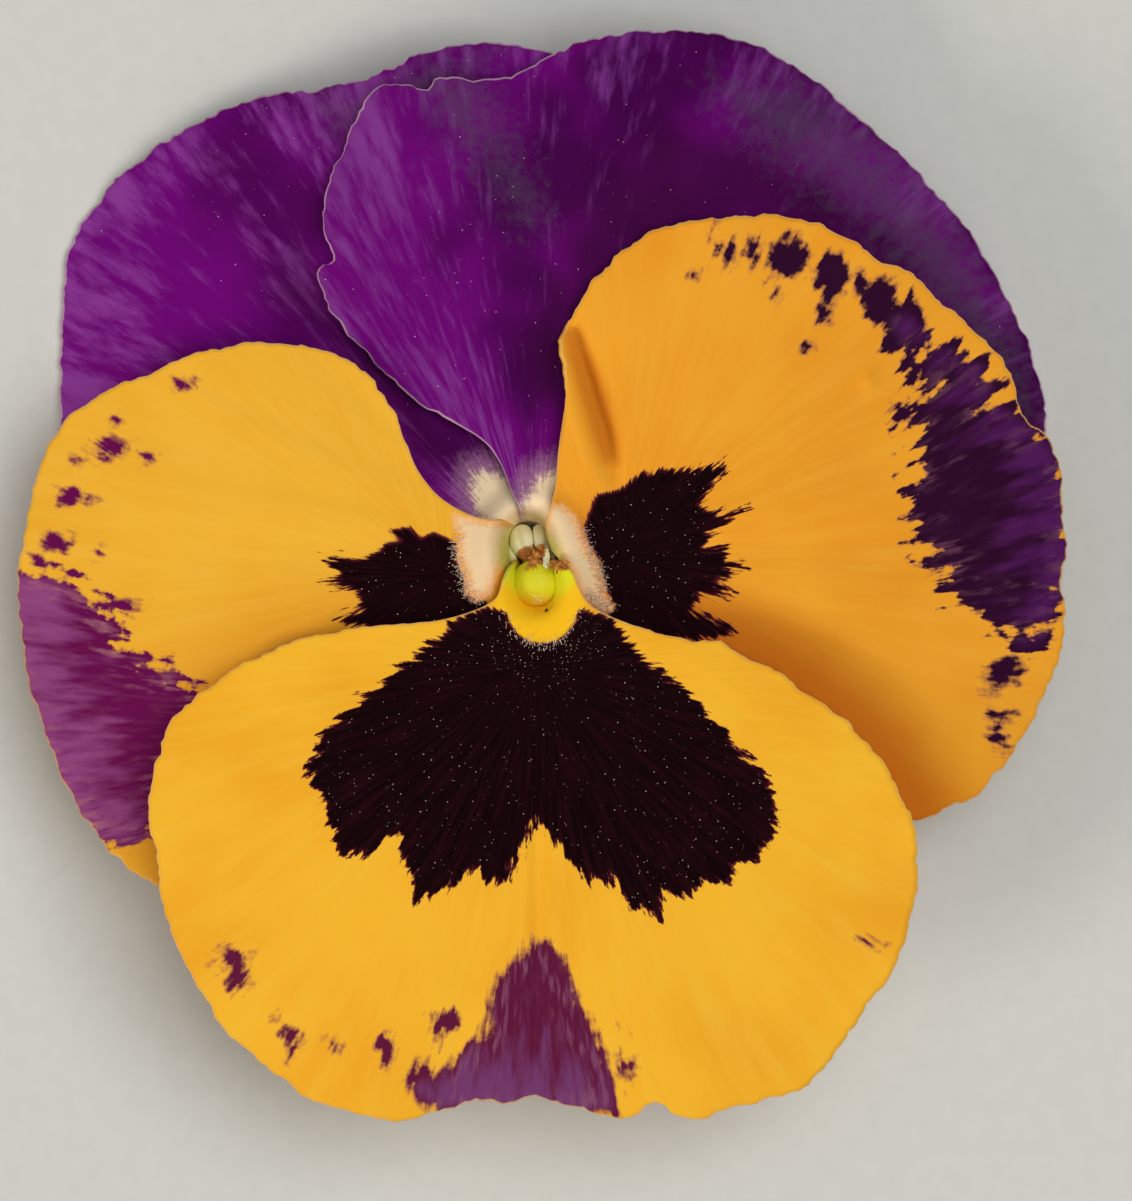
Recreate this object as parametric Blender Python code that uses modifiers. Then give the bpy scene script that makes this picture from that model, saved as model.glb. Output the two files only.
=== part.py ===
"""Garden pansy bloom, picked with a short stem and lying face up.

Five petals in their natural layers, a calyx of five sepals with the auricles behind their bases, five stamens
round the pistil, and the hooked stem that the bloom rests on. X runs to the right and Y to the top of the flower
as it faces the viewer, and Z points out of its face. Sizes below are millimetres unless a name says otherwise.
"""
import math

import bmesh
import bpy
from mathutils import Vector

MM = 0.001

# The face of the flower
FACE_HEIGHT = 13.0        # top of the petals beside the throat, above the surface it lies on
FACE_FALL = 0.0035        # the face falls by this much times the distance from the throat squared
PETAL_THICKNESS = 0.6
LAYER_STEP = 1.05         # each layer of petals lies this far behind the one in front
LAYER_START = 1.4         # distance from the claws where the layers begin to part
LAYER_END = 3.4
THROAT = Vector((-0.35, -0.8))
CLAWS = Vector((-0.75, 1.9))   # middle of the ring of claws, over the receptacle

# Upper and side petals bend back towards their outer edges
BEND_START = 8.0
BEND_RUN = 18.5
BEND_POWER = 1.6
TOP_START = 12.0
TOP_RUN = 18.0
TOP_FALL = 1.5

# Ruffled rims, which only rise from the smooth form
RUFFLE_HEIGHT = 0.55
RUFFLE_START = 19.0
RUFFLE_END = 26.0
RUFFLE_COUNT = 11

# Rolled inner margin of the right side petal
ROLL_HEIGHT = 0.9
ROLL_X = 1.5
ROLL_WIDTH = 1.1
CREASE_DEPTH = 0.3
CREASE_X = 3.7
CREASE_WIDTH = 0.7

# Mesh density of a petal
SPOKES = 60
RINGS = (0.3, 0.5, 0.66, 0.79, 0.88, 0.94, 1.0)
LOWER_RINGS = (0.3, 0.52, 0.68, 0.76, 0.81, 0.87, 1.0)   # close together where the channel's wall rises
CLAW_DENSITY = 3.5
CLAW_REACH = 4.0
CURVE_CUTS = 10

# Sepals: the direction of each in degrees, and the height of its turn
SEPALS = ((90.0, 6.5), (22.0, 6.5), (-40.0, 4.9), (-140.0, 4.9), (158.0, 6.5))
SEPAL_LENGTH = 13.0
SEPAL_HALF_WIDTH = 1.75
SEPAL_BASE_SHARE = 0.085  # share of the pointed width curve that the base leaves out
SEPAL_ROUNDING = 0.8      # fullness of that curve: 1 is a sine, less is rounder
SEPAL_BEHIND = 4.5        # blade of a sepal behind the face
SEPAL_RISE = (0.06, 0.42)      # share of the blade over which it comes up to that depth
SEPAL_FOLD = 0.35
SEPAL_THICKNESS = 0.6
AURICLE_SHARE = 0.22      # share of a sepal's path that is the auricle and the turn
AURICLE_DROP = 2.6        # auricle below the turn
AURICLE_RADIUS = 2.2      # its free end, from the middle of the claws
AURICLE_WAIST = 0.75      # it draws in by this towards the claws
TURN_FLARE = 0.6          # and flares out again at the turn
TURN_START = 0.6          # share of the auricle where the flare begins

# Pistil and stamens, on one axis that leans towards the lower petal
AXIS_BASE = Vector((-0.72, 1.95, 7.9))
AXIS_TIP = Vector((-0.4, -0.55, 11.0))    # middle of the stigma
STIGMA_RADIUS = 1.25
OVARY_RADIUS = 0.62
OVARY_LENGTH = 1.9
OVARY_SHOULDER = 0.25     # the style widens into the ovary over this length
STYLE_RADIUS = 0.34
STYLE_TOP = 0.93          # the style ends this share of the stigma's radius below its middle
STAMEN_COUNT = 5
STAMEN_LENGTH = 2.75
STAMEN_FOOT = 0.12        # an anther starts this far up the axis
STAMEN_HALF_WIDTH = 0.6
STAMEN_TAPER = (0.55, 0.45)    # share of the length where it narrows, and share of the width lost at the tip
STAMEN_THICKNESS = 0.45
STAMEN_RING = 1.17
STAMEN_TIP_RING = 0.76
STAMEN_CLOSING = 0.35     # share of the length where the anthers bend in
STAMEN_GROOVE = 0.1
STAMEN_GROOVE_WIDTH = 0.3      # share of the half width

# Stem, with the receptacle as its swollen top
STEM_RADIUS = 0.9
STEM_ROUTE = (
    ((5.0, -25.0, 0.9), 1.0),
    ((3.5, -17.5, 1.15), 1.0),
    ((1.8, -9.5, 1.25), 1.0),
    ((0.4, -3.0, 1.15), 1.0),
    ((-0.3, 0.0, 1.35), 1.0),
    ((-0.65, 1.8, 2.7), 1.0),
    ((-0.75, 2.05, 4.2), 1.02),
    ((-0.75, 1.95, 5.4), 1.1),
    ((-0.75, 1.9, 6.4), 1.12),
    ((-0.75, 1.9, 7.0), 0.95),
    ((-0.75, 1.9, 7.3), 0.6),
)
BRACT_LENGTH = 3.0
BRACT_WIDTH = 1.1
BRACT_TAPER = 0.6         # share of the width lost at the tip
BRACT_THICKNESS = 0.6
BRACT_ROOT = 0.4          # its root starts this far up the stem from its place
BRACT_STANDOFF = 0.55     # its root stands this far out from the stem's middle
BRACT_SPREAD = 0.9        # and its tip this much further
BRACT_PLACES = (((0.5, -3.4, 1.4), -1.0), ((0.9, -4.8, 1.35), 1.0))

# Nectar spur behind the lower petal
SPUR_TOP = Vector((-0.45, -0.9, 6.2))
SPUR_END = Vector((-0.45, -2.0, 4.3))
SPUR_RADIUS = 1.15

# Petal outlines, anticlockwise from the claw, with the hidden margins as the petals of such a bloom have them
LOWER = (
    (-0.75, 0.5), (-1.4, 0.6), (-1.8, 0.2), (-2.1, -0.6), (-2.75, -1.5), (-4.0, -2.1), (-6.0, -2.6), (-8.6, -2.8),
    (-11.5, -3.2), (-14.0, -3.9), (-16.6, -5.1), (-18.4, -6.4), (-19.9, -7.6), (-20.8, -9.3), (-21.5, -11.5),
    (-21.7, -12.9), (-21.2, -15.6), (-20.8, -18.3), (-20.1, -20.4), (-18.7, -23.0), (-17.2, -25.2), (-15.0, -27.2),
    (-12.7, -28.8), (-10.6, -29.4), (-8.3, -30.1), (-6.2, -29.7), (-4.0, -29.1), (-2.0, -29.0), (-0.1, -28.7),
    (1.3, -29.2), (3.2, -29.7), (5.0, -29.9), (6.2, -29.0), (7.4, -29.8), (9.1, -29.9), (11.0, -29.2), (14.2, -28.3),
    (16.2, -26.3), (17.7, -24.0), (19.3, -21.8), (20.1, -19.4), (20.7, -16.6), (20.4, -14.0), (19.7, -12.2),
    (18.5, -10.2), (16.7, -8.2), (14.4, -6.4), (12.0, -4.9), (10.0, -3.9), (7.8, -3.5), (5.6, -3.0), (3.8, -2.35),
    (2.65, -1.65), (1.95, -0.85), (1.35, -0.1), (0.65, 0.5), (0.0, 0.6),
)
SIDE_LEFT = (
    (-2.2, 1.95), (-2.15, 2.5), (-3.0, 2.85), (-4.2, 3.3), (-5.7, 4.3), (-6.8, 5.7), (-7.6, 7.5), (-8.3, 9.1),
    (-9.4, 10.7), (-11.1, 12.0), (-13.0, 12.5), (-16.0, 12.7), (-18.8, 12.2), (-21.8, 11.1), (-24.6, 9.8),
    (-26.5, 8.2), (-27.6, 6.2), (-28.3, 3.7), (-28.8, 0.6), (-28.9, -2.2), (-28.5, -5.3), (-27.9, -7.6),
    (-27.1, -9.8), (-25.6, -12.9), (-23.9, -15.2), (-21.6, -16.9), (-18.5, -17.0), (-14.5, -14.5), (-10.5, -10.5),
    (-7.0, -6.5), (-5.2, -3.6), (-4.1, -1.95), (-2.95, -1.4), (-2.45, -0.5), (-2.1, 0.6), (-1.95, 1.3),
)
SIDE_RIGHT = (
    (0.65, 1.9), (0.6, 1.4), (1.2, 0.8), (1.9, 0.15), (2.6, -0.8), (3.4, -1.8), (4.3, -2.5), (6.0, -4.2), (8.5, -7.0),
    (12.0, -10.5), (16.0, -13.0), (18.6, -13.9), (20.8, -13.6), (22.5, -12.8), (24.2, -12.0), (25.9, -10.0),
    (27.2, -7.8), (28.4, -5.1), (28.9, -2.3), (28.7, -0.6), (28.9, 1.6), (28.7, 4.4), (28.5, 6.4), (27.7, 7.7),
    (26.7, 8.5), (26.1, 9.8), (25.8, 11.2), (24.5, 12.8), (22.4, 14.7), (20.2, 16.6), (18.4, 17.4), (16.6, 18.6),
    (14.6, 19.5), (11.6, 19.7), (8.3, 19.4), (6.1, 18.9), (4.5, 17.8), (2.8, 16.0), (1.6, 14.2), (1.2, 12.8),
    (1.35, 11.0), (1.2, 9.0), (0.9, 6.8), (0.75, 4.9), (0.65, 3.5), (0.64, 2.6),
)
UPPER_LEFT = (
    (-1.2, 3.25), (-1.55, 3.95), (-2.05, 4.85), (-2.62, 5.85), (-1.9, 7.4), (1.6, 10.0), (4.4, 14.0), (5.6, 19.0),
    (4.2, 25.0), (0.8, 28.6), (-1.4, 29.1), (-4.2, 29.3), (-6.4, 28.9), (-8.4, 28.0), (-9.9, 27.4), (-12.5, 26.8),
    (-16.2, 26.2), (-19.6, 24.8), (-22.4, 22.9), (-24.6, 20.8), (-25.9, 18.8), (-26.6, 16.0), (-26.6, 13.0),
    (-26.8, 10.0), (-26.4, 6.5), (-24.0, 3.5), (-19.0, 2.4), (-13.0, 2.9), (-8.0, 3.9), (-5.0, 4.1), (-3.3, 3.5),
    (-2.0, 2.85),
)
UPPER_RIGHT = (
    (-0.2, 3.2), (0.3, 2.95), (0.48, 4.2), (0.65, 5.6), (1.6, 6.4), (4.4, 5.6), (9.0, 4.2), (16.0, 3.0), (22.5, 2.9),
    (26.5, 4.6), (27.8, 7.4), (27.6, 10.6), (26.0, 15.0), (23.5, 19.1), (20.3, 22.8), (17.0, 25.8), (13.7, 28.2),
    (11.0, 29.5), (8.2, 30.0), (5.6, 29.95), (2.8, 29.5), (0.6, 28.7), (-1.1, 27.8), (-2.9, 27.3), (-5.6, 27.3),
    (-6.4, 26.8), (-7.4, 27.0), (-8.9, 26.9), (-9.9, 25.8), (-11.0, 23.4), (-11.9, 21.0), (-12.0, 18.8),
    (-11.5, 17.4), (-12.3, 16.8), (-12.3, 15.8), (-11.3, 14.0), (-9.8, 12.2), (-8.2, 10.6), (-6.4, 9.2),
    (-4.6, 8.2), (-3.1, 7.2), (-2.25, 6.0), (-1.75, 4.75), (-1.25, 3.9), (-0.95, 3.25),
)

# Every petal: its outline, the middle its spokes run from, its layer, where its throat wall starts and ends and how
# deep that goes, and how far its outer edge bends back
PETALS = {
    "petal_lower": dict(outline=LOWER, middle=(-0.5, -14.0), layer=0, wall=(1.0, 2.8, 6.6), bend=0.0),
    "petal_side_left": dict(outline=SIDE_LEFT, middle=(-15.0, -2.0), layer=1, wall=(1.2, 3.0, 5.8), bend=3.0),
    "petal_side_right": dict(outline=SIDE_RIGHT, middle=(14.0, 3.0), layer=1, wall=(1.1, 2.7, 5.8), bend=3.0),
    "petal_upper_right": dict(outline=UPPER_RIGHT, middle=(0.0, 17.0), layer=2, wall=(1.2, 3.6, 5.8), bend=7.4),
    "petal_upper_left": dict(outline=UPPER_LEFT, middle=(-12.0, 14.0), layer=3, wall=(1.2, 3.6, 5.8), bend=6.4),
}

# Plain colours of the tissues: red, green, blue and roughness
PURPLE = (0.07, 0.01, 0.10, 0.7)
YELLOW = (0.93, 0.47, 0.03, 0.65)
LEAF_GREEN = (0.13, 0.26, 0.05, 0.6)
STALK_GREEN = (0.20, 0.33, 0.08, 0.55)
CREAM = (0.75, 0.70, 0.38, 0.6)
LIME = (0.60, 0.58, 0.08, 0.45)


def smooth_step(low, high, value):
    """Rises from 0 at low to 1 at high."""
    t = min(max((value - low) / (high - low), 0.0), 1.0)
    return t * t * (3.0 - 2.0 * t)


def material(name, colour):
    red, green, blue, roughness = colour
    made = bpy.data.materials.new(name)
    made.use_nodes = True
    shader = made.node_tree.nodes["Principled BSDF"]
    shader.inputs["Base Color"].default_value = (red, green, blue, 1.0)
    shader.inputs["Roughness"].default_value = roughness
    shader.inputs["Metallic"].default_value = 0.0
    return made


def add_object(name, data, finish, collection):
    made = bpy.data.objects.new(name, data)
    made.data.materials.append(finish)
    collection.objects.link(made)
    return made


def mesh_object(name, shape, finish, collection):
    """Scales a bmesh from millimetres to metres and gives it an object."""
    bmesh.ops.scale(shape, vec=(MM, MM, MM), verts=shape.verts)
    mesh = bpy.data.meshes.new(name)
    shape.to_mesh(mesh)
    shape.free()
    mesh.shade_smooth()
    return add_object(name, mesh, finish, collection)


def thicken(piece, thickness):
    """Gives a sheet its thickness on the side away from the viewer."""
    wall = piece.modifiers.new("Thickness", "SOLIDIFY")
    wall.thickness = thickness * MM
    wall.offset = -1.0


def catmull_rom(points, closed, cuts):
    """Points of a smooth curve through a few chosen ones."""
    count = len(points)
    spans = count if closed else count - 1
    curve = []
    for span in range(spans):
        if closed:
            a, b, c, d = (points[(span + step) % count] for step in (-1, 0, 1, 2))
        else:
            a, b, c, d = (points[min(max(span + step, 0), count - 1)] for step in (-1, 0, 1, 2))
        for cut in range(cuts):
            t = cut / cuts
            curve.append(0.5 * (2 * b + (c - a) * t + (2 * a - 5 * b + 4 * c - d) * t * t
                                + (3 * b - a - 3 * c + d) * t ** 3))
    if not closed:
        curve.append(points[-1])
    return curve


def claw_weight(point):
    """More spokes end near the claw, where the throat's wall is steep."""
    return 1.0 + CLAW_DENSITY * math.exp(-((point - CLAWS).length / CLAW_REACH) ** 2)


def rim_points(outline, count):
    """Spreads the rim's points along a petal's outline."""
    curve = catmull_rom([Vector(point) for point in outline], True, CURVE_CUTS)
    reach = [0.0]
    for here, after in zip(curve, curve[1:] + curve[:1]):
        reach.append(reach[-1] + (after - here).length * claw_weight(here))
    rim = []
    span = 0
    for number in range(count):
        target = reach[-1] * number / count
        while reach[span + 1] <= target:
            span += 1
        share = (target - reach[span]) / (reach[span + 1] - reach[span])
        rim.append(curve[span].lerp(curve[(span + 1) % len(curve)], share))
    return rim


def throat_distance(point):
    """Distance from the line along the bottom of the throat."""
    along = THROAT - CLAWS
    share = min(max((point - CLAWS).dot(along) / along.length_squared, 0.0), 1.0)
    return (point - CLAWS - along * share).length


def bend_back(point, amount):
    """How far the outer edge of an upper or side petal has bent back."""
    out = max(abs(point.x) - BEND_START, 0.0) / BEND_RUN
    up = max(point.y - TOP_START, 0.0) / TOP_RUN
    return amount * out ** BEND_POWER + TOP_FALL * up * up


def face_height(point):
    return FACE_HEIGHT - FACE_FALL * (point - THROAT).length_squared


def rolled_margin(point):
    """The inner margin of the right side petal curls up, with a crease beside it."""
    along = smooth_step(4.0, 7.0, point.y) * (1.0 - smooth_step(14.0, 17.0, point.y))
    roll = ROLL_HEIGHT * math.exp(-((point.x - ROLL_X) / ROLL_WIDTH) ** 2)
    crease = CREASE_DEPTH * math.exp(-((point.x - CREASE_X) / CREASE_WIDTH) ** 2)
    return along * (roll - crease)


def ruffle(point, middle, ring):
    """Waves of the free rim."""
    away = (point - THROAT).length
    angle = math.atan2(point.y - middle.y, point.x - middle.x)
    wave = 0.5 + 0.5 * math.sin(RUFFLE_COUNT * angle + math.sin(3.0 * angle))
    return RUFFLE_HEIGHT * wave * ring ** 4 * smooth_step(RUFFLE_START, RUFFLE_END, away)


def petal_height(name, point, ring):
    """Height of a petal's upper face. A lobe that would go lower lies flat on the surface."""
    form = PETALS[name]
    start, end, depth = form["wall"]
    height = face_height(point) - depth * (1.0 - smooth_step(start, end, throat_distance(point)))
    height -= LAYER_STEP * form["layer"] * smooth_step(LAYER_START, LAYER_END, (point - CLAWS).length)
    if form["layer"]:
        height -= bend_back(point, form["bend"])
    if name == "petal_side_right":
        height += rolled_margin(point)
    if name != "petal_upper_left":
        height += ruffle(point, Vector(form["middle"]), ring)
    return max(height, PETAL_THICKNESS)


def wheel(spokes, ring_steps):
    """A flat disc of rings and spokes: a line of edges spun all the way round."""
    shape = bmesh.new()
    line = [shape.verts.new((step, 0.0, 0.0)) for step in (0.0,) + ring_steps]
    edges = [shape.edges.new(pair) for pair in zip(line, line[1:])]
    bmesh.ops.spin(shape, geom=line + edges, cent=(0.0, 0.0, 0.0), axis=(0.0, 0.0, 1.0), angle=math.tau,
                   steps=spokes, use_merge=True)
    bmesh.ops.remove_doubles(shape, verts=shape.verts, dist=1e-4)
    return shape


def petal(name, finish, collection):
    """Draws a disc of spokes out to the petal's outline and lifts it to the petal's form."""
    form = PETALS[name]
    middle = Vector(form["middle"])
    rim = rim_points(form["outline"], SPOKES)
    shape = wheel(SPOKES, LOWER_RINGS if name == "petal_lower" else RINGS)
    for vert in shape.verts:
        ring = vert.co.xy.length
        spoke = round(math.atan2(vert.co.y, vert.co.x) / math.tau * SPOKES) % SPOKES
        point = middle.lerp(rim[spoke], ring)
        vert.co = (point.x, point.y, petal_height(name, point, ring))
    bmesh.ops.triangulate(shape, faces=shape.faces)
    bmesh.ops.recalc_face_normals(shape, faces=shape.faces)
    if sum(face.normal.z for face in shape.faces) < 0:
        bmesh.ops.reverse_faces(shape, faces=shape.faces)
    made = mesh_object(name, shape, finish, collection)
    thicken(made, PETAL_THICKNESS)
    return made


def helper(made):
    """A helper is only a cutter or a joined lump of another piece."""
    made.hide_render = True
    made.display_type = "WIRE"
    return made


def join_with(piece, lump):
    joint = piece.modifiers.new("Join", "BOOLEAN")
    joint.operation = "UNION"
    joint.solver = "EXACT"
    joint.object = lump


def spur(finish, helpers):
    """A blunt sac behind the lower petal's channel."""
    shape = bmesh.new()
    bmesh.ops.create_uvsphere(shape, u_segments=14, v_segments=9, radius=SPUR_RADIUS)
    axis = SPUR_TOP - SPUR_END
    turn = Vector((0.0, 0.0, 1.0)).rotation_difference(axis)
    for vert in shape.verts:
        if vert.co.z > 0:
            vert.co.z += axis.length
        vert.co = SPUR_END + turn @ vert.co
    return helper(mesh_object("spur_form", shape, finish, helpers))


def sepal_point(direction, turn_height, along, across):
    """Path of a sepal: up the auricle, round the claw and out under the petals."""
    blade_share = max(along - AURICLE_SHARE, 0.0) / (1.0 - AURICLE_SHARE)
    width_share = SEPAL_BASE_SHARE + (1.0 - SEPAL_BASE_SHARE) * blade_share
    half_width = SEPAL_HALF_WIDTH * math.sin(math.pi * min(width_share, 0.995)) ** SEPAL_ROUNDING
    share = along / AURICLE_SHARE
    if share < 1.0:
        waist = AURICLE_WAIST * math.sin(share * math.pi / 2)
        radius = AURICLE_RADIUS - waist + TURN_FLARE * smooth_step(TURN_START, 1.0, share)
        height = turn_height - AURICLE_DROP * (1.0 - share ** 0.9)
    else:
        radius = AURICLE_RADIUS - AURICLE_WAIST + TURN_FLARE + SEPAL_LENGTH * blade_share
    side = Vector((-direction.y, direction.x))
    point = CLAWS + direction * radius + side * across * half_width
    if along >= AURICLE_SHARE:
        blade = face_height(point) - SEPAL_BEHIND - bend_back(point, PETALS["petal_upper_right"]["bend"])
        height = turn_height + (blade - turn_height) * smooth_step(*SEPAL_RISE, blade_share)
    return Vector((point.x, point.y, height + SEPAL_FOLD * abs(across) * along))


def sepal(number, angle, turn_height, finish, collection):
    direction = Vector((math.cos(math.radians(angle)), math.sin(math.radians(angle))))
    shape = bmesh.new()
    bmesh.ops.create_grid(shape, x_segments=4, y_segments=14, size=1.0)
    for vert in shape.verts:
        vert.co = sepal_point(direction, turn_height, 0.5 + 0.5 * vert.co.y, -vert.co.x)
    bmesh.ops.triangulate(shape, faces=shape.faces)
    bmesh.ops.recalc_face_normals(shape, faces=shape.faces)
    if sum(face.normal.z for face in shape.faces) < 0:
        bmesh.ops.reverse_faces(shape, faces=shape.faces)
    made = mesh_object(f"sepal_{number}", shape, finish, collection)
    thicken(made, SEPAL_THICKNESS)
    return made


def axis_frame():
    """Directions along the pistil, up and back from it, and across it."""
    along = (AXIS_TIP - AXIS_BASE).normalized()
    across = Vector((0.0, 1.0, 0.0)).cross(along).normalized()
    return along, along.cross(across), across


def stamen(number, finish, collection):
    """An anther of two bulging halves on a short filament, bent in over the ovary to a pointed tip."""
    along, back, across = axis_frame()
    middle = math.tau * (number + 0.5) / STAMEN_COUNT
    taper_start, taper = STAMEN_TAPER
    shape = bmesh.new()
    bmesh.ops.create_uvsphere(shape, u_segments=14, v_segments=9, radius=1.0)
    for vert in shape.verts:
        x, y, z = vert.co
        share = 0.5 + 0.5 * z
        width = STAMEN_HALF_WIDTH * (1.0 - taper * smooth_step(taper_start, 1.0, share))
        ring = STAMEN_RING + (STAMEN_TIP_RING - STAMEN_RING) * smooth_step(STAMEN_CLOSING, 1.0, share)
        groove = STAMEN_GROOVE * math.exp(-(x / STAMEN_GROOVE_WIDTH) ** 2) if y > 0 else 0.0
        radius = ring + 0.5 * STAMEN_THICKNESS * y - groove * (1.0 - z * z)
        angle = middle + width * x / STAMEN_RING
        direction = back * math.cos(angle) + across * math.sin(angle)
        vert.co = AXIS_BASE + along * (STAMEN_FOOT + STAMEN_LENGTH * share) + direction * radius
    bmesh.ops.triangulate(shape, faces=shape.faces)
    return mesh_object(f"stamen_{number + 1}", shape, finish, collection)


def pistil(finish, collection):
    """Ovary, style and globe-shaped stigma, turned from one profile."""
    length = (AXIS_TIP - AXIS_BASE).length
    profile = [(0.0, length + STIGMA_RADIUS)]
    for step in range(1, 8):
        turn = math.radians(20.0 * step)
        profile.append((STIGMA_RADIUS * math.sin(turn), length + STIGMA_RADIUS * math.cos(turn)))
    profile.append((STYLE_RADIUS, length - STIGMA_RADIUS * STYLE_TOP))
    profile.append((STYLE_RADIUS, OVARY_LENGTH + OVARY_SHOULDER))
    for step in range(1, 6):
        turn = math.radians(30.0 * step)
        profile.append((OVARY_RADIUS * math.sin(turn), OVARY_LENGTH / 2 * (1 + math.cos(turn))))
    profile.append((0.0, 0.0))
    shape = bmesh.new()
    verts = [shape.verts.new((radius, 0.0, height)) for radius, height in profile]
    for pair in zip(verts, verts[1:]):
        shape.edges.new(pair)
    made = mesh_object("pistil", shape, finish, collection)
    along = (AXIS_TIP - AXIS_BASE).normalized()
    made.location = AXIS_BASE * MM
    made.rotation_euler = Vector((0.0, 0.0, 1.0)).rotation_difference(along).to_euler()
    turned = made.modifiers.new("Turned", "SCREW")
    turned.steps = 20
    turned.render_steps = 20
    turned.use_merge_vertices = True
    turned.merge_threshold = 1e-5
    return made


def stem(finish, collection, helpers):
    """A round stalk that lies on the surface, turns up to the receptacle and carries two small bracts."""
    path = catmull_rom([Vector((*place, swell)) for place, swell in STEM_ROUTE], False, 3)
    line = bpy.data.curves.new("stem_line", "CURVE")
    line.dimensions = "3D"
    line.bevel_depth = STEM_RADIUS * MM
    line.bevel_resolution = 3
    line.use_fill_caps = True
    spline = line.splines.new("POLY")
    spline.points.add(len(path) - 1)
    for point, (x, y, z, swell) in zip(spline.points, path):
        point.co = (x * MM, y * MM, z * MM, 1.0)
        point.radius = swell
    drawn = add_object("stem_drawn", line, finish, helpers)
    mesh = bpy.data.meshes.new_from_object(drawn.evaluated_get(bpy.context.evaluated_depsgraph_get()))
    bpy.data.objects.remove(drawn)
    shape = bmesh.new()
    shape.from_mesh(mesh)
    bmesh.ops.remove_doubles(shape, verts=shape.verts, dist=1e-6)
    shape.to_mesh(mesh)
    shape.free()
    mesh.shade_smooth()
    mesh.materials.clear()
    made = add_object("stem", mesh, finish, collection)
    for number, (foot, side) in enumerate(BRACT_PLACES):
        join_with(made, bract(number, Vector(foot), side, finish, helpers))
    return made


def bract(number, foot, side, finish, helpers):
    """A small pointed scale that stands off the stem."""
    shape = bmesh.new()
    bmesh.ops.create_uvsphere(shape, u_segments=8, v_segments=6, radius=1.0)
    for vert in shape.verts:
        x, y, z = vert.co
        share = 0.5 + 0.5 * y
        half_width = BRACT_WIDTH / 2 * (1.0 - BRACT_TAPER * share)
        out = side * (BRACT_STANDOFF + BRACT_SPREAD * share) + x * half_width
        vert.co = foot + Vector((out, BRACT_ROOT - BRACT_LENGTH * share, z * BRACT_THICKNESS / 2))
    bmesh.ops.recalc_face_normals(shape, faces=shape.faces)
    return helper(mesh_object(f"bract_form_{number + 1}", shape, finish, helpers))


def build():
    for old in list(bpy.data.objects):
        bpy.data.objects.remove(old)
    flower = bpy.data.collections.new("pansy_flower")
    helpers = bpy.data.collections.new("helpers")
    for collection in (flower, helpers):
        bpy.context.scene.collection.children.link(collection)

    yellow = material("yellow_petal", YELLOW)
    purple = material("purple_petal", PURPLE)
    for name in PETALS:
        made = petal(name, purple if "upper" in name else yellow, flower)
        if name == "petal_lower":
            join_with(made, spur(yellow, helpers))

    leaf = material("sepal_green", LEAF_GREEN)
    for number, (angle, turn_height) in enumerate(SEPALS):
        sepal(number + 1, angle, turn_height, leaf, flower)

    anther = material("anther_cream", CREAM)
    for number in range(STAMEN_COUNT):
        stamen(number, anther, flower)
    pistil(material("stigma_lime", LIME), flower)
    stem(material("stem_green", STALK_GREEN), flower, helpers)


build()
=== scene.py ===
# %% [markdown]
# A garden pansy bloom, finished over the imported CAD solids
#
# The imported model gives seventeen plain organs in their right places: five petals, five sepals, five
# stamens, the pistil and the stem. Each petal there is a faceted blade 0.6 mm thick. This lesson swaps
# every organ for a finer piece of the same form and gives it the colours, markings, hairs and pollen of the
# living flower.
#
# X runs to the right and Y to the top of the flower, and Z points out of its face. Blender works in metres
# here, but a flower is easier to think of in millimetres, so the numbers below are millimetres unless a
# name says otherwise, and each mesh is scaled to metres as its last step.

import math
import random

import bmesh
import bpy
import numpy as np
from mathutils import Matrix, Vector, noise


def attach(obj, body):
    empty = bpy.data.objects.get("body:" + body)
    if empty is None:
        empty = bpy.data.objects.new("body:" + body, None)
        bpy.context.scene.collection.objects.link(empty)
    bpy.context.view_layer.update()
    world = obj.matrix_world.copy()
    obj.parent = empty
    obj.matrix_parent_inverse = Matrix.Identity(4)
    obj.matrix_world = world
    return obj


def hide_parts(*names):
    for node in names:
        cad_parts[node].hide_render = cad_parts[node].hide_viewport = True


MM = 0.001
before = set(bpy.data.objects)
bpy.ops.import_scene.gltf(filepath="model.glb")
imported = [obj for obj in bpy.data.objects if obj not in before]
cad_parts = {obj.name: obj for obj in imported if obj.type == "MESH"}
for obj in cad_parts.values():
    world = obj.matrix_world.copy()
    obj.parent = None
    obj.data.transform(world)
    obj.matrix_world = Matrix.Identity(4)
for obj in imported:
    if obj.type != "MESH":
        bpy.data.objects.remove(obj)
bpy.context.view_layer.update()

# %% [markdown]
# A few small tools come first, because every finish below uses them.
#
# Colour codes are sRGB, as a paint chip or a picture shows them, while a shader wants linear light. One
# function turns the one into the other. The second adds a node with its settings and links in one call. A
# link may be a plain value, a colour code, another node's output, or a whole node, which stands for its
# first live output. The settings that come up most have names. Two more give the ends of a ramp and end
# a finish.

# %% Colours and nodes
COLOUR = {"data_type": "RGBA"}
SMOOTH = {"interpolation_type": "SMOOTHSTEP"}
MULTIPLY_ADD = {"operation": "MULTIPLY_ADD"}


def linear(code):
    """Linear colour from an sRGB hex code."""
    parts = [int(code[place:place + 2], 16) / 255 for place in (1, 3, 5)]
    return [part / 12.92 if part <= 0.04045 else ((part + 0.055) / 1.055) ** 2.4 for part in parts] + [1.0]


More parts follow.
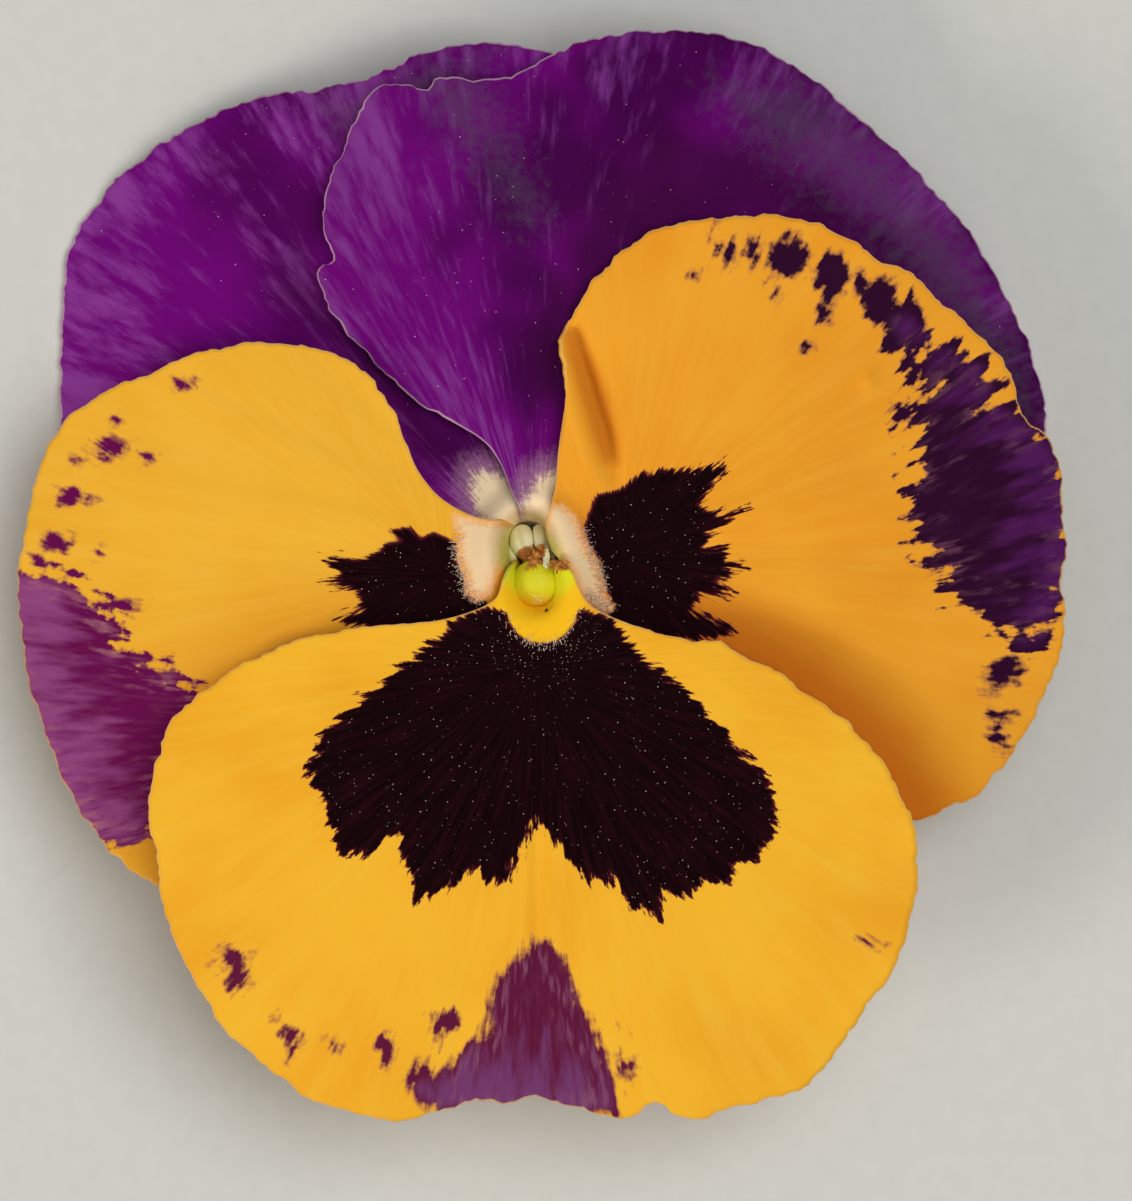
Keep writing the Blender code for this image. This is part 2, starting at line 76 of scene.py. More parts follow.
def add_node(tree, kind, settings=None, links=None):
    """Adds a node with its own settings, and fills or links its inputs, given by name or number."""
    node = tree.nodes.new("ShaderNode" + kind)
    for name, value in (settings or {}).items():
        setattr(node, name, value)
    for name, value in (links or {}).items():
        if isinstance(name, int):
            socket = node.inputs[name]
        else:
            socket = next(each for each in node.inputs if each.name == name and each.enabled)
        if isinstance(value, str):
            value = linear(value)
        if isinstance(value, bpy.types.Node):
            value = next(each for each in value.outputs if each.enabled)
        if isinstance(value, bpy.types.NodeSocket):
            tree.links.new(value, socket)
        else:
            socket.default_value = value
    return node


def rise(low, high, share=1.0, rest=0.0):
    """Ends of a Map Range node that goes from a rest at low to a share at high."""
    return {"From Min": low, "From Max": high, "To Min": rest, "To Max": share}


def lay_on(tree, shader, colour, numbers, relief=None):
    """Ends a finish: links its colour and its relief to the shader, and sets the shader's own numbers."""
    tree.links.new(colour.outputs[2], shader.inputs["Base Color"])
    if relief:
        tree.links.new(relief.outputs["Normal"], shader.inputs["Normal"])
    for name, value in numbers.items():
        shader.inputs[name].default_value = value


def blank_material(name):
    """A material with only its shader, and the node tree to build its finish in."""
    made = bpy.data.materials.new(name)
    made.use_nodes = True
    return made, made.node_tree, made.node_tree.nodes["Principled BSDF"]


print("yellow of the lower petal in linear light:", [round(v, 3) for v in linear("#F9B020")[:3]])

# %% [markdown]
# The camera looks straight down on the open face of the flower, as the photograph does.
#
# A camera close to a bowl-shaped thing shows its near parts larger than its far ones. From a metre away
# with a long lens this hardly happens, so the outlines stay as they were traced. The picture is 1132 by
# 1201 pixels and a pixel is 0.055 mm on the flower, so its height is 66 mm. The lens length follows from
# that height and the distance.

# %% Camera
PIXEL = 0.055
PICTURE_HEIGHT = 1201 * PIXEL
PICTURE_MIDDLE = (1.32, -1.46)
CAMERA_HEIGHT = 1000.0
FACE_LEVEL = 9.5  # mean height of the petals, where the scale is true
SENSOR = 36.0

camera_data = bpy.data.cameras.new("camera")
camera_data.sensor_width = SENSOR
camera_data.lens = SENSOR * (CAMERA_HEIGHT - FACE_LEVEL) / PICTURE_HEIGHT
camera_data.clip_start = 0.05
camera_data.clip_end = 20.0
camera = bpy.data.objects.new("camera", camera_data)
camera.location = (PICTURE_MIDDLE[0] * MM, PICTURE_MIDDLE[1] * MM, CAMERA_HEIGHT * MM)
bpy.context.scene.collection.objects.link(camera)
bpy.context.scene.camera = camera
print("lens", round(camera_data.lens), "mm")

# %% [markdown]
# The floor is a plain sheet of pale studio paper, with its middle dropped onto the surface that the flower
# lies on. The light is a large soft panel overhead, a smaller one from the lower left, which draws the soft
# shadow under the right rim of the lower petal, and a pale surround that fills the shadows. A wide panel
# gives velvet its even glow.

# %% Floor and light
FLOOR_HALF_SIZE = 3.0  # metres
FLOOR_DROP = 0.0002  # metres; keeps the floor clear of the lowest faces


def paper_floor():
    """Matt studio paper: pale grey, rough all over, with a faint mottle of fibres about 1 mm apart."""
    made, tree, shader = blank_material("matt_studio_paper")
    place = add_node(tree, "TexCoord")
    fibre = add_node(tree, "TexNoise", {},
                     {"Vector": place.outputs["Object"], "Scale": 900.0, "Detail": 3.0})
    tone = add_node(tree, "Mix", COLOUR, {"Factor": fibre, "A": "#CFCFC9", "B": "#D8D8D2"})
    lay_on(tree, shader, tone, {"Roughness": 0.9})
    shape = bmesh.new()
    bmesh.ops.create_grid(shape, x_segments=2, y_segments=2, size=FLOOR_HALF_SIZE)
    mesh = bpy.data.meshes.new("floor")
    shape.to_mesh(mesh)
    shape.free()
    floor = bpy.data.objects.new("floor", mesh)
    floor.location.z = -FLOOR_DROP
    mesh.materials.append(made)
    bpy.context.scene.collection.objects.link(floor)


def soft_panel(name, place, size, watts, colour):
    """An area light in metres that looks at the flower."""
    light = bpy.data.lights.new(name, "AREA")
    light.shape = "SQUARE"
    light.size = size
    light.energy = watts
    light.color = linear(colour)[:3]
    panel = bpy.data.objects.new(name, light)
    panel.location = place
    panel.rotation_euler = (-Vector(place)).to_track_quat("-Z", "Y").to_euler()
    panel.visible_camera = False
    bpy.context.scene.collection.objects.link(panel)


paper_floor()
soft_panel("overhead_panel", (0.55, 0.1, 1.65), 1.2, 17.8, "#FFFFFF")
soft_panel("lower_left_panel", (-0.95, -0.6, 0.62), 0.4, 6.5, "#FFF6EA")
surround = bpy.data.worlds.new("pale_surround")
surround.use_nodes = True
surround.node_tree.nodes["Background"].inputs["Color"].default_value = linear("#F2F4F6")
surround.node_tree.nodes["Background"].inputs["Strength"].default_value = 0.28
bpy.context.scene.world = surround
bpy.context.scene.view_settings.view_transform = "Standard"
print("lights:", [each.name for each in bpy.data.lights])

# %% [markdown]
# A pansy's face is a shallow dome round a small funnel. The five petals lie in layers: the lower one in
# front, the two side ones behind it, then the right upper one, and the left upper one at the back. Near the
# throat they all meet on one ring of narrow claws.
#
# The numbers here are those of the CAD source, so that each fine petal keeps the form of its solid.

# %% Form of the bloom
FACE_HEIGHT = 13.0  # of the middle of the face over the surface
FACE_FALL = 0.0035  # times the square of the distance from the throat
BLADE_THICKNESS = 0.25  # a living petal is 0.2 to 0.3 mm thick; the solid's blade is 0.6
LAYER_STEP = 1.05  # between the open blades of two layers
CLAW_STEP = 0.33  # between their narrow claws, which lie close, as living ones do
LAYER_START = 1.4  # distance from the claws where the layers start to part
LAYER_END = 3.4  # and where they are fully apart
THROAT = Vector((-0.35, -0.8))
CLAWS = Vector((-0.75, 1.9))
BEND_START = 8.0  # the outer edges bend back from this far out
BEND_RUN = 18.5  # and over this width
BEND_POWER = 1.6
TOP_START = 12.0  # the tops bend back from this far up
TOP_RUN = 18.0
TOP_FALL = 1.5


def smooth_step(low, high, value):
    """Rises from 0 at low to 1 at high."""
    t = min(max((value - low) / (high - low), 0.0), 1.0)
    return t * t * (3.0 - 2.0 * t)


def throat_distance(point):
    """Distance from the line along the bottom of the throat."""
    along = THROAT - CLAWS
    share = min(max((point - CLAWS).dot(along) / along.length_squared, 0.0), 1.0)
    return (point - CLAWS - along * share).length


def bend_back(point, amount):
    """How far the outer edge of an upper or side petal has bent back."""
    out = max(abs(point.x) - BEND_START, 0.0) / BEND_RUN
    up = max(point.y - TOP_START, 0.0) / TOP_RUN
    return amount * out ** BEND_POWER + TOP_FALL * up * up


def face_height(point):
    """Height of the shallow dome that the face follows."""
    return FACE_HEIGHT - FACE_FALL * (point - THROAT).length_squared


print("25 mm out the face lies at", round(face_height(THROAT + Vector((25, 0))), 1), "mm")

# %% [markdown]
# Each petal is described by its outline as seen from the front, with the hidden margins as such a bloom has
# them, and by the middle from which its mesh fans out. The free rims are the same points as in the CAD
# source. The hidden margins and the narrow claws reach further under one another, as on the living flower.
# The wall of a petal's throat has four numbers: where it starts and ends, how deep it goes and how round it
# is. The bend is how far the outer edge has bent back.

# %% Outlines of the petals
LOWER = (
    (-0.6, 0.65), (-1.15, 0.8), (-1.6, 0.45), (-2.0, -0.3), (-2.6, -1.4), (-4.0, -2.1), (-6.0, -2.6),
    (-8.6, -2.8), (-11.5, -3.2), (-14.0, -3.9), (-16.6, -5.1), (-18.4, -6.4), (-19.9, -7.6), (-20.8, -9.3),
    (-21.5, -11.5), (-21.7, -12.9), (-21.2, -15.6), (-20.8, -18.3), (-20.1, -20.4), (-18.7, -23.0),
    (-17.2, -25.2), (-15.0, -27.2), (-12.7, -28.8), (-10.6, -29.4), (-8.3, -30.1), (-6.2, -29.7),
    (-4.0, -29.1), (-2.0, -29.0), (-0.1, -28.7), (1.3, -29.2), (3.2, -29.7), (5.0, -29.9), (6.2, -29.0),
    (7.4, -29.8), (9.1, -29.9), (11.0, -29.2), (14.2, -28.3), (16.2, -26.3), (17.7, -24.0), (19.3, -21.8),
    (20.1, -19.4), (20.7, -16.6), (20.4, -14.0), (19.7, -12.2), (18.5, -10.2), (16.7, -8.2), (14.4, -6.4),
    (12.0, -4.9), (10.0, -3.9), (7.8, -3.5), (5.6, -3.0), (3.8, -2.35), (2.55, -1.6), (1.95, -0.6),
    (1.65, 0.05), (1.2, 0.4), (0.3, 0.6),
)
SIDE_LEFT = (
    (-1.35, 1.8), (-1.4, 2.5), (-2.0, 2.85), (-3.0, 3.0), (-4.2, 3.35), (-5.7, 4.3), (-6.8, 5.7),
    (-7.6, 7.5), (-8.3, 9.1), (-9.4, 10.7), (-11.1, 12.0), (-13.0, 12.5), (-16.0, 12.7), (-18.8, 12.2),
    (-21.8, 11.1), (-24.6, 9.8), (-26.5, 8.2), (-27.6, 6.2), (-28.3, 3.7), (-28.8, 0.6), (-28.9, -2.2),
    (-28.5, -5.3), (-27.9, -7.6), (-27.1, -9.8), (-25.6, -12.9), (-23.9, -15.2), (-21.6, -16.9),
    (-18.5, -17.0), (-14.5, -14.5), (-10.5, -10.5), (-7.0, -6.5), (-5.2, -4.6), (-4.1, -3.1), (-3.0, -2.1),
    (-2.2, -0.9), (-1.75, 0.3), (-1.45, 1.1),
)
SIDE_RIGHT = (
    (0.2, 2.2), (0.45, 1.4), (1.1, 0.6), (1.7, -0.4), (2.4, -1.5), (3.2, -2.7), (4.3, -3.7), (6.0, -5.2),
    (8.5, -7.4), (12.0, -10.5), (16.0, -13.0), (18.6, -13.9), (20.8, -13.6), (22.5, -12.8), (24.2, -12.0),
    (25.9, -10.0), (27.2, -7.8), (28.4, -5.1), (28.9, -2.3), (28.7, -0.6), (28.9, 1.6), (28.7, 4.4),
    (28.5, 6.4), (27.7, 7.7), (26.7, 8.5), (26.1, 9.8), (25.8, 11.2), (24.5, 12.8), (22.4, 14.7),
    (20.2, 16.6), (18.4, 17.4), (16.6, 18.6), (14.6, 19.5), (11.6, 19.7), (8.3, 19.4), (6.1, 18.9),
    (4.5, 17.8), (2.8, 16.0), (1.6, 14.2), (1.2, 12.8), (1.35, 11.0), (1.2, 9.0), (0.9, 6.8), (0.75, 4.9),
    (0.5, 3.7), (0.2, 2.9),
)
UPPER_LEFT = (
    (-0.75, 2.5), (-0.6, 3.9), (-0.8, 4.85), (-1.0, 5.9), (-0.2, 7.4), (2.4, 10.0), (4.6, 14.0),
    (5.6, 19.0), (4.2, 25.0), (0.8, 28.6), (-1.4, 29.1), (-4.2, 29.3), (-6.4, 28.9), (-8.4, 28.0),
    (-9.9, 27.4), (-12.5, 26.8), (-16.2, 26.2), (-19.6, 24.8), (-22.4, 22.9), (-24.6, 20.8), (-25.9, 18.8),
    (-26.6, 16.0), (-26.6, 13.0), (-26.8, 10.0), (-26.4, 6.5), (-24.0, 3.5), (-19.0, 2.2), (-13.0, 2.0),
    (-8.0, 2.2), (-5.0, 2.5), (-3.4, 2.6), (-2.4, 2.55), (-1.6, 2.45),
)
UPPER_RIGHT = (
    (-0.3, 2.3), (0.5, 2.0), (1.3, 2.4), (1.8, 4.0), (2.5, 5.0), (4.4, 4.9), (9.0, 3.9), (16.0, 3.0),
    (22.5, 2.9), (26.5, 4.6), (27.8, 7.4), (27.6, 10.6), (26.0, 15.0), (23.5, 19.1), (20.3, 22.8),
    (17.0, 25.8), (13.7, 28.2), (11.0, 29.5), (8.2, 30.0), (5.6, 29.95), (2.8, 29.5), (0.6, 28.7),
    (-1.1, 27.8), (-2.9, 27.3), (-5.6, 27.3), (-6.4, 26.8), (-7.4, 27.0), (-8.9, 26.9), (-9.9, 25.8),
    (-11.0, 23.4), (-11.9, 21.0), (-12.0, 18.8), (-11.5, 17.4), (-12.3, 16.8), (-12.3, 15.8), (-11.3, 14.0),
    (-9.8, 12.2), (-8.2, 10.6), (-6.4, 9.2), (-4.6, 8.2), (-3.1, 7.2), (-2.25, 6.0), (-1.75, 4.75),
    (-1.35, 3.8), (-1.15, 2.9),
)
PETALS = {
    "petal_lower": dict(outline=LOWER, middle=(-0.5, -14.0), layer=0, bend=0.0,
                        wall=(0.4, 2.9, 6.6, 5.0)),
    "petal_side_left": dict(outline=SIDE_LEFT, middle=(-15.0, -2.0), layer=1, bend=3.0,
                            wall=(0.8, 3.0, 5.8, 3.6)),
    "petal_side_right": dict(outline=SIDE_RIGHT, middle=(14.0, 3.0), layer=1, bend=3.0,
                             wall=(0.5, 2.7, 5.8, 4.0)),
    "petal_upper_right": dict(outline=UPPER_RIGHT, middle=(0.0, 17.0), layer=2, bend=7.4,
                              wall=(0.6, 3.6, 5.8, 3.5)),
    "petal_upper_left": dict(outline=UPPER_LEFT, middle=(-12.0, 14.0), layer=3, bend=6.4,
                             wall=(0.6, 3.6, 5.8, 3.5)),
}
print({name: f"{len(form['outline'])} points" for name, form in PETALS.items()})

# %% [markdown]
# A curve through the chosen points makes each outline. The few lines of the Catmull-Rom formula give its
# points straight away, where a curve object would have to be made and sampled. The rim needs its points
# closest together at the narrow claw, where the blade turns down into the throat.

# %% Smooth rims
CLAW_CROWDING = 2.5  # the rim has up to 3.5 times as many points a millimetre at the claw
CLAW_REACH = 4.0


def soft_ridge(away, half_width):
    """A rounded ridge: 1 on its line, about a third at its half width, nothing at three times that."""
    return math.exp(-(away / half_width) ** 2)


def catmull_rom(points, closed, cuts):
    """Points of a smooth curve through a few chosen ones."""
    count = len(points)
    spans = count if closed else count - 1
    curve = []
    for span in range(spans):
        if closed:
            a, b, c, d = (points[(span + step) % count] for step in (-1, 0, 1, 2))
        else:
            a, b, c, d = (points[min(max(span + step, 0), count - 1)] for step in (-1, 0, 1, 2))
        for cut in range(cuts):
            t = cut / cuts
            curve.append(0.5 * (2 * b + (c - a) * t + (2 * a - 5 * b + 4 * c - d) * t * t
                                + (3 * b - a - 3 * c + d) * t ** 3))
    if not closed:
        curve.append(points[-1])
    return curve


def rim_points(outline, count):
    """Spreads the rim's points along a petal's outline, closer together at its narrow claw."""
    curve = catmull_rom([Vector(point) for point in outline], True, 10)
    reach = [0.0]
    for here, after in zip(curve, curve[1:] + curve[:1]):
        weight = 1.0 + CLAW_CROWDING * soft_ridge((here - CLAWS).length, CLAW_REACH)
        reach.append(reach[-1] + (after - here).length * weight)
    rim = []
    span = 0
    for number in range(count):
        target = reach[-1] * number / count
        while reach[span + 1] <= target:
            span += 1
        share = (target - reach[span]) / (reach[span + 1] - reach[span])
        rim.append(curve[span].lerp(curve[(span + 1) % len(curve)], share))
    return rim


lower_rim = rim_points(LOWER, 440)
steps = [(after - here).length for here, after in zip(lower_rim, lower_rim[1:])]
print("rim of the lower petal:", round(sum(steps)), "mm long")

# %% [markdown]
# The rim of a petal is never a clean curve. It is scalloped where the veins end, a few tenths of a
# millimetre deep and 2 to 3 mm apart. Noise along the outline pushes each rim point in or out, and fades
# away near the claw.

# %% Scalloped rim
SCALLOP_DEPTH = 0.2
CRINKLE_DEPTH = 0.16
SCALLOP_LENGTH = 1.5
CRINKLE_LENGTH = 0.5
FREE_RIM = (6.0, 11.0)  # the scallops come up between these distances from the claws


def scalloped(rim, seed):
    """Moves the rim's points in and out across the outline. Each petal has a seed of its own."""
    moved = []
    for number, point in enumerate(rim):
        ahead = rim[(number + 1) % len(rim)] - rim[number - 1]
        out = Vector((ahead.y, -ahead.x)).normalized()
        wave = noise.noise(Vector((point.x / SCALLOP_LENGTH, point.y / SCALLOP_LENGTH, seed)))
        crinkle = noise.noise(Vector((point.x / CRINKLE_LENGTH, point.y / CRINKLE_LENGTH, seed + 9.0)))
        free = smooth_step(*FREE_RIM, (point - CLAWS).length)
        moved.append(point + out * (SCALLOP_DEPTH * wave + CRINKLE_DEPTH * crinkle) * free)
    return moved


print("rim moved by up to", SCALLOP_DEPTH + CRINKLE_DEPTH, "mm")

# %% [markdown]
# The surface of a living petal is not a smooth sheet either. Its relief could be sculpted by hand or
# pressed in with a displacement texture. Here each part of it is a short formula of the place on the face,
# so it can be read, moved and measured. The formulas are added to the height that the CAD solid has.
#
# The side petals have the most of it. Both carry a soft raised cushion beside the throat. The right one
# also rolls up along its inner margin, with a crease beside the roll, sinks a little where it goes under
# the lower petal, and has one small blister near its patch.

# %% Relief of the side petals
ROLL_HEIGHT = 0.55
ROLL_PLACE = (1.25, 0.9)  # distance from the crease's line, and half width
CREASE_DEPTH = 0.8
CREASE_PLACE = (-0.05, 0.55)
CREASE_FROM = Vector((1.5, 13.6))
CREASE_TO = Vector((3.8, 6.2))
CREASE_RISE = (-0.3, 0.15)  # shares of that line over which the roll and the crease come up
CREASE_FADE = (0.75, 1.35)  # and over which they end
DIP_CENTRE = Vector((6.0, -18.0))
DIP_RADIUS = 14.7
DIP_WIDTH = 4.5
DIP_DEPTH = 0.7
BLISTER = Vector((18.0, 10.7))
BLISTER_HEIGHT = 0.22
BLISTER_RADIUS = 0.5
CUSHIONS = {"petal_side_left": Vector((-3.3, 0.9)), "petal_side_right": Vector((1.9, 0.8))}
CUSHION_HEIGHT = 0.35
CUSHION_HALF_SIZE = (0.9, 1.6)


def rolled_margin(point):
    """The inner margin of the right side petal curls up, and a slanting crease runs beside the curl."""
    line = CREASE_TO - CREASE_FROM
    share = (point - CREASE_FROM).dot(line) / line.length_squared
    side = (point - CREASE_FROM).cross(line) / line.length
    along = smooth_step(*CREASE_RISE, share) * (1.0 - smooth_step(*CREASE_FADE, share))
    roll = ROLL_HEIGHT * soft_ridge(side - ROLL_PLACE[0], ROLL_PLACE[1])
    crease = CREASE_DEPTH * soft_ridge(side - CREASE_PLACE[0], CREASE_PLACE[1])
    return along * (roll - crease)


def dip_under(point):
    """The right side petal sinks a little where it goes under the round shoulder of the lower one."""
    return -DIP_DEPTH * (1.0 - smooth_step(0.0, DIP_WIDTH, (point - DIP_CENTRE).length - DIP_RADIUS))


def side_relief(name, point):
    """All that a side petal has beside its folds and ruffles."""
    away = point - CUSHIONS[name]
    wide, high = CUSHION_HALF_SIZE
    height = CUSHION_HEIGHT * soft_ridge(away.x, wide) * soft_ridge(away.y, high)
    if name == "petal_side_right":
        height += rolled_margin(point) + dip_under(point)
        height += BLISTER_HEIGHT * soft_ridge((point - BLISTER).length, BLISTER_RADIUS)
    return height


print("right side petal's roll stands", ROLL_HEIGHT, "mm up")

# %% [markdown]
# The free rims are ruffled, every blade has low folds that fan out from its claw, and the lower petal has a
# shallow groove down its middle. The folds are noise read on a circle round the claw, so they meet
# themselves where the circle closes.

# %% Ruffles, folds and groove
RUFFLE_HEIGHT = 0.45
RUFFLE_WAVES = 11  # round a whole petal
RUFFLE_ZONE = (19.0, 26.0)  # they come up between these distances from the throat
FOLD_DEPTH = 0.3
BROAD_FOLDS = 5.0  # about so many folds for one radian round the claw
FINE_FOLDS = 22.0
FINE_SHARE = 0.12  # of a fine fold's depth in a broad one's
FOLD_ZONE = (4.0, 12.0)  # they come up between these distances from the claws
GROOVE_DEPTH = 0.22
GROOVE_PLACE = (-0.2, 0.45)  # x of its line, and half width
GROOVE_START = (-12.0, -9.0)  # Y where it comes up
GROOVE_END = (-28.0, -22.0)  # and Y where it ends


def ruffle(point, middle, ring):
    """Waves of the free rim."""
    angle = math.atan2(point.y - middle.y, point.x - middle.x)
    wave = 0.5 + 0.5 * math.sin(RUFFLE_WAVES * angle + math.sin(3.0 * angle))
    return RUFFLE_HEIGHT * wave * ring ** 3 * smooth_step(*RUFFLE_ZONE, (point - THROAT).length)


def fan_folds(point, seed):
    """Low folds that fan out from the claw, fade towards it and change slowly on their way out."""
    away = point - CLAWS
    angle = math.atan2(away.y, away.x)
    turn = Vector((math.cos(angle), math.sin(angle)))
    broad = noise.noise(Vector((*(turn * BROAD_FOLDS), seed + away.length * 0.03)))
    fine = noise.noise(Vector((*(turn * FINE_FOLDS), seed + 5.0 + away.length * 0.05)))
    return FOLD_DEPTH * (broad + FINE_SHARE * fine) * smooth_step(*FOLD_ZONE, away.length)


def groove(point):
    """The fold down the middle of the lower petal."""
    along = (1.0 - smooth_step(*GROOVE_START, point.y)) * smooth_step(*GROOVE_END, point.y)
    return -GROOVE_DEPTH * along * soft_ridge(point.x - GROOVE_PLACE[0], GROOVE_PLACE[1])


print("groove's depth half way down:", round(-groove(Vector((GROOVE_PLACE[0], -18.0))), 2), "mm")

# %% [markdown]
# All of these add up to the height of a petal's face at one place. The first terms are those of the CAD
# solid: the dome, the wall of the throat, the step between the layers and the bend of the outer edge. A
# lobe that would sink into the surface lies flat on it.

# %% Height of a petal
def petal_height(name, point, ring):
    """Height of a petal's upper face at a place. ring is 0 at the petal's middle and 1 at its rim."""
    form = PETALS[name]
    start, end, depth, rounding = form["wall"]
    fallen = min(max((end - throat_distance(point)) / (end - start), 0.0), 1.0)
    apart = smooth_step(LAYER_START, LAYER_END, (point - CLAWS).length)
    height = face_height(point) - depth * fallen ** rounding
    height -= form["layer"] * (CLAW_STEP + (LAYER_STEP - CLAW_STEP) * apart)
    if form["layer"]:
        height -= bend_back(point, form["bend"])
    if name in CUSHIONS:
        height += side_relief(name, point)
    if name == "petal_lower":
        height += groove(point)
    if name != "petal_upper_left":
        height += ruffle(point, Vector(form["middle"]), ring)
    height += fan_folds(point, form["layer"] * 3.0 + form["middle"][0])
    return max(height, BLADE_THICKNESS)


beside_throat = petal_height("petal_lower", Vector((-6.0, -6.0)), 0.0)
print("lower petal's face beside the throat:", round(beside_throat, 2), "mm up")

# %% [markdown]
# The dark blotches, the purple patches at the rims and the freckles are pigment in the petal's skin. Their
# edges follow the cells, which run out from the claw, so they end in fine teeth.
#
# A painted picture would be the usual way. Here each marking is an outline of a few given points. The
# mesh keeps how far inside the nearest outline each vertex lies, and the material adds noise drawn out
# along the cells to that distance. Wherever the sum is above zero the pigment shows.

# %% Outlines of the dark blotches
LOWER_BLOTCH = (
    (-5.0, -3.0), (-7.6, -4.9), (-10.4, -7.2), (-12.1, -9.0), (-12.9, -10.9), (-11.8, -13.0),
    (-10.9, -15.8), (-7.9, -14.3), (-6.8, -18.2), (-3.7, -16.2), (-2.9, -16.8), (-2.0, -16.8),
    (-1.4, -15.8), (-0.3, -13.6), (1.3, -15.4), (2.5, -16.9), (3.4, -16.4), (4.6, -18.0), (6.5, -18.9),
    (6.9, -17.5), (8.2, -17.8), (8.8, -16.9), (10.1, -17.1), (11.0, -15.7), (12.0, -16.0), (12.7, -14.2),
    (12.9, -13.0), (12.5, -11.6), (11.5, -10.1), (10.3, -9.0), (9.4, -7.8), (7.3, -5.8), (6.0, -5.1),
    (4.4, -3.2), (3.7, -2.4), (2.6, -2.0), (2.0, -2.0), (1.8, -2.6), (1.3, -3.3), (0.7, -3.7), (0.0, -3.8),
    (-0.7, -3.7), (-1.3, -3.3), (-1.8, -2.6), (-1.9, -2.1), (-3.0, -1.8), (-5.2, -2.6),
)
LEFT_BLOTCH = (
    (-4.6, 1.6), (-4.7, 0.8), (-4.1, -0.7), (-3.9, -1.3), (-3.0, -1.5), (-3.2, -2.4), (-4.9, -3.1),
    (-7.6, -3.2), (-9.1, -3.1), (-11.3, -2.6), (-10.8, -2.3), (-10.0, -1.9), (-10.2, -1.0), (-12.3, -0.3),
    (-11.1, -0.2), (-12.0, 0.8), (-10.0, 0.9), (-8.9, 1.3), (-8.6, 1.7), (-7.8, 1.8), (-8.4, 2.4),
    (-7.3, 2.6), (-6.6, 2.0), (-6.0, 2.3), (-5.2, 2.0),
)
RIGHT_BLOTCH = (
    (2.3, 2.5), (2.6, 1.6), (3.1, 0.8), (3.4, -0.6), (3.7, -1.2), (3.4, -2.4), (5.4, -3.4), (7.8, -3.7),
    (10.9, -3.2), (9.2, -2.3), (8.2, -2.0), (8.7, -1.2), (10.4, -1.2), (9.6, -0.4), (11.3, 0.3),
    (10.1, 0.6), (10.2, 1.6), (8.9, 1.4), (9.2, 2.1), (11.4, 3.7), (9.7, 3.3), (8.6, 3.7), (9.4, 4.8),
    (10.6, 6.1), (8.1, 5.8), (5.4, 5.6), (4.4, 4.7), (2.9, 4.3), (2.6, 3.5),
)
print("points of the blotches:", len(LOWER_BLOTCH), len(LEFT_BLOTCH), len(RIGHT_BLOTCH))

# %% [markdown]
# The purple patches lie at the rims. Their outlines run past the rim, so that the pigment reaches it
# everywhere.

# %% Outlines of the purple patches
LOWER_WEDGE = (
    (-0.3, -19.9), (-1.2, -20.7), (-2.0, -21.5), (-2.9, -23.4), (-3.2, -25.1), (-4.8, -26.5), (-5.6, -27.3),
    (-7.5, -28.1), (-6.2, -29.5), (-0.1, -30.6), (4.1, -29.5), (3.9, -27.6), (3.7, -26.7), (2.6, -25.1),
    (1.8, -22.6), (1.0, -21.0),
)
LEFT_PATCH = (
    (-30.4, 0.3), (-27.5, 0.1), (-26.0, -0.2), (-25.0, -1.1), (-23.5, -1.9), (-23.1, -3.3), (-22.1, -4.5),
    (-20.3, -5.3), (-18.5, -6.7), (-19.4, -10.2), (-20.5, -12.4), (-21.0, -14.7), (-22.9, -15.1),
    (-24.8, -14.8), (-26.6, -12.9), (-28.3, -9.5), (-29.5, -6.6), (-30.2, -3.1),
)
RIGHT_PATCH = (
    (18.9, 14.0), (19.7, 12.3), (21.1, 10.7), (20.0, 9.3), (20.5, 7.4), (20.5, 5.2), (20.1, 3.2),
    (21.1, 0.8), (22.4, -0.9), (23.8, -2.1), (25.2, -3.1), (26.3, -4.2), (27.7, -3.9), (28.6, -2.0),
    (29.6, 0.8), (29.6, 4.1), (28.4, 7.1), (27.4, 8.2), (25.2, 9.6), (24.6, 11.5), (22.4, 12.6),
    (20.0, 14.8),
)
print("points of the patches:", len(LOWER_WEDGE), len(LEFT_PATCH), len(RIGHT_PATCH))

# %% [markdown]
# Round the throat the pigment is missing. The side petals are pale where their cushions are, and the upper
# petals where their narrow claws go down.

# %% Outlines of the pale places
LEFT_CUSHION = (
    (-4.9, 3.3), (-3.2, 3.0), (-1.6, 2.7), (-1.4, 2.4), (-1.9, 1.7), (-2.2, 0.6), (-2.5, -0.4),
    (-2.8, -1.2), (-3.5, -1.5), (-4.2, -1.0), (-4.2, -0.1), (-4.5, 0.6), (-4.7, 1.3), (-4.6, 2.2),
    (-4.9, 2.8),
)
RIGHT_CUSHION = (
    (0.3, 3.7), (0.0, 2.5), (0.3, 1.7), (1.1, 0.8), (1.6, 0.1), (1.9, -0.9), (2.5, -1.5), (3.6, -2.1),
    (4.0, -1.9), (3.4, -1.0), (3.4, -0.4), (3.1, 0.6), (2.7, 1.1), (2.3, 1.9), (2.1, 2.5), (1.7, 3.4),
    (0.9, 3.9),
)
LEFT_CLAW = (
    (-3.9, 5.6), (-3.2, 5.8), (-2.1, 5.6), (-0.8, 4.5), (-0.4, 2.3), (-2.0, 1.4), (-3.3, 2.3), (-3.8, 3.4),
    (-4.0, 4.5),
)
RIGHT_CLAW = (
    (-1.0, 4.2), (-0.7, 4.8), (-0.3, 5.4), (0.8, 5.8), (1.9, 5.6), (1.8, 2.3), (0.5, 1.6), (-1.4, 1.8),
    (-1.6, 2.9), (-1.3, 3.7),
)
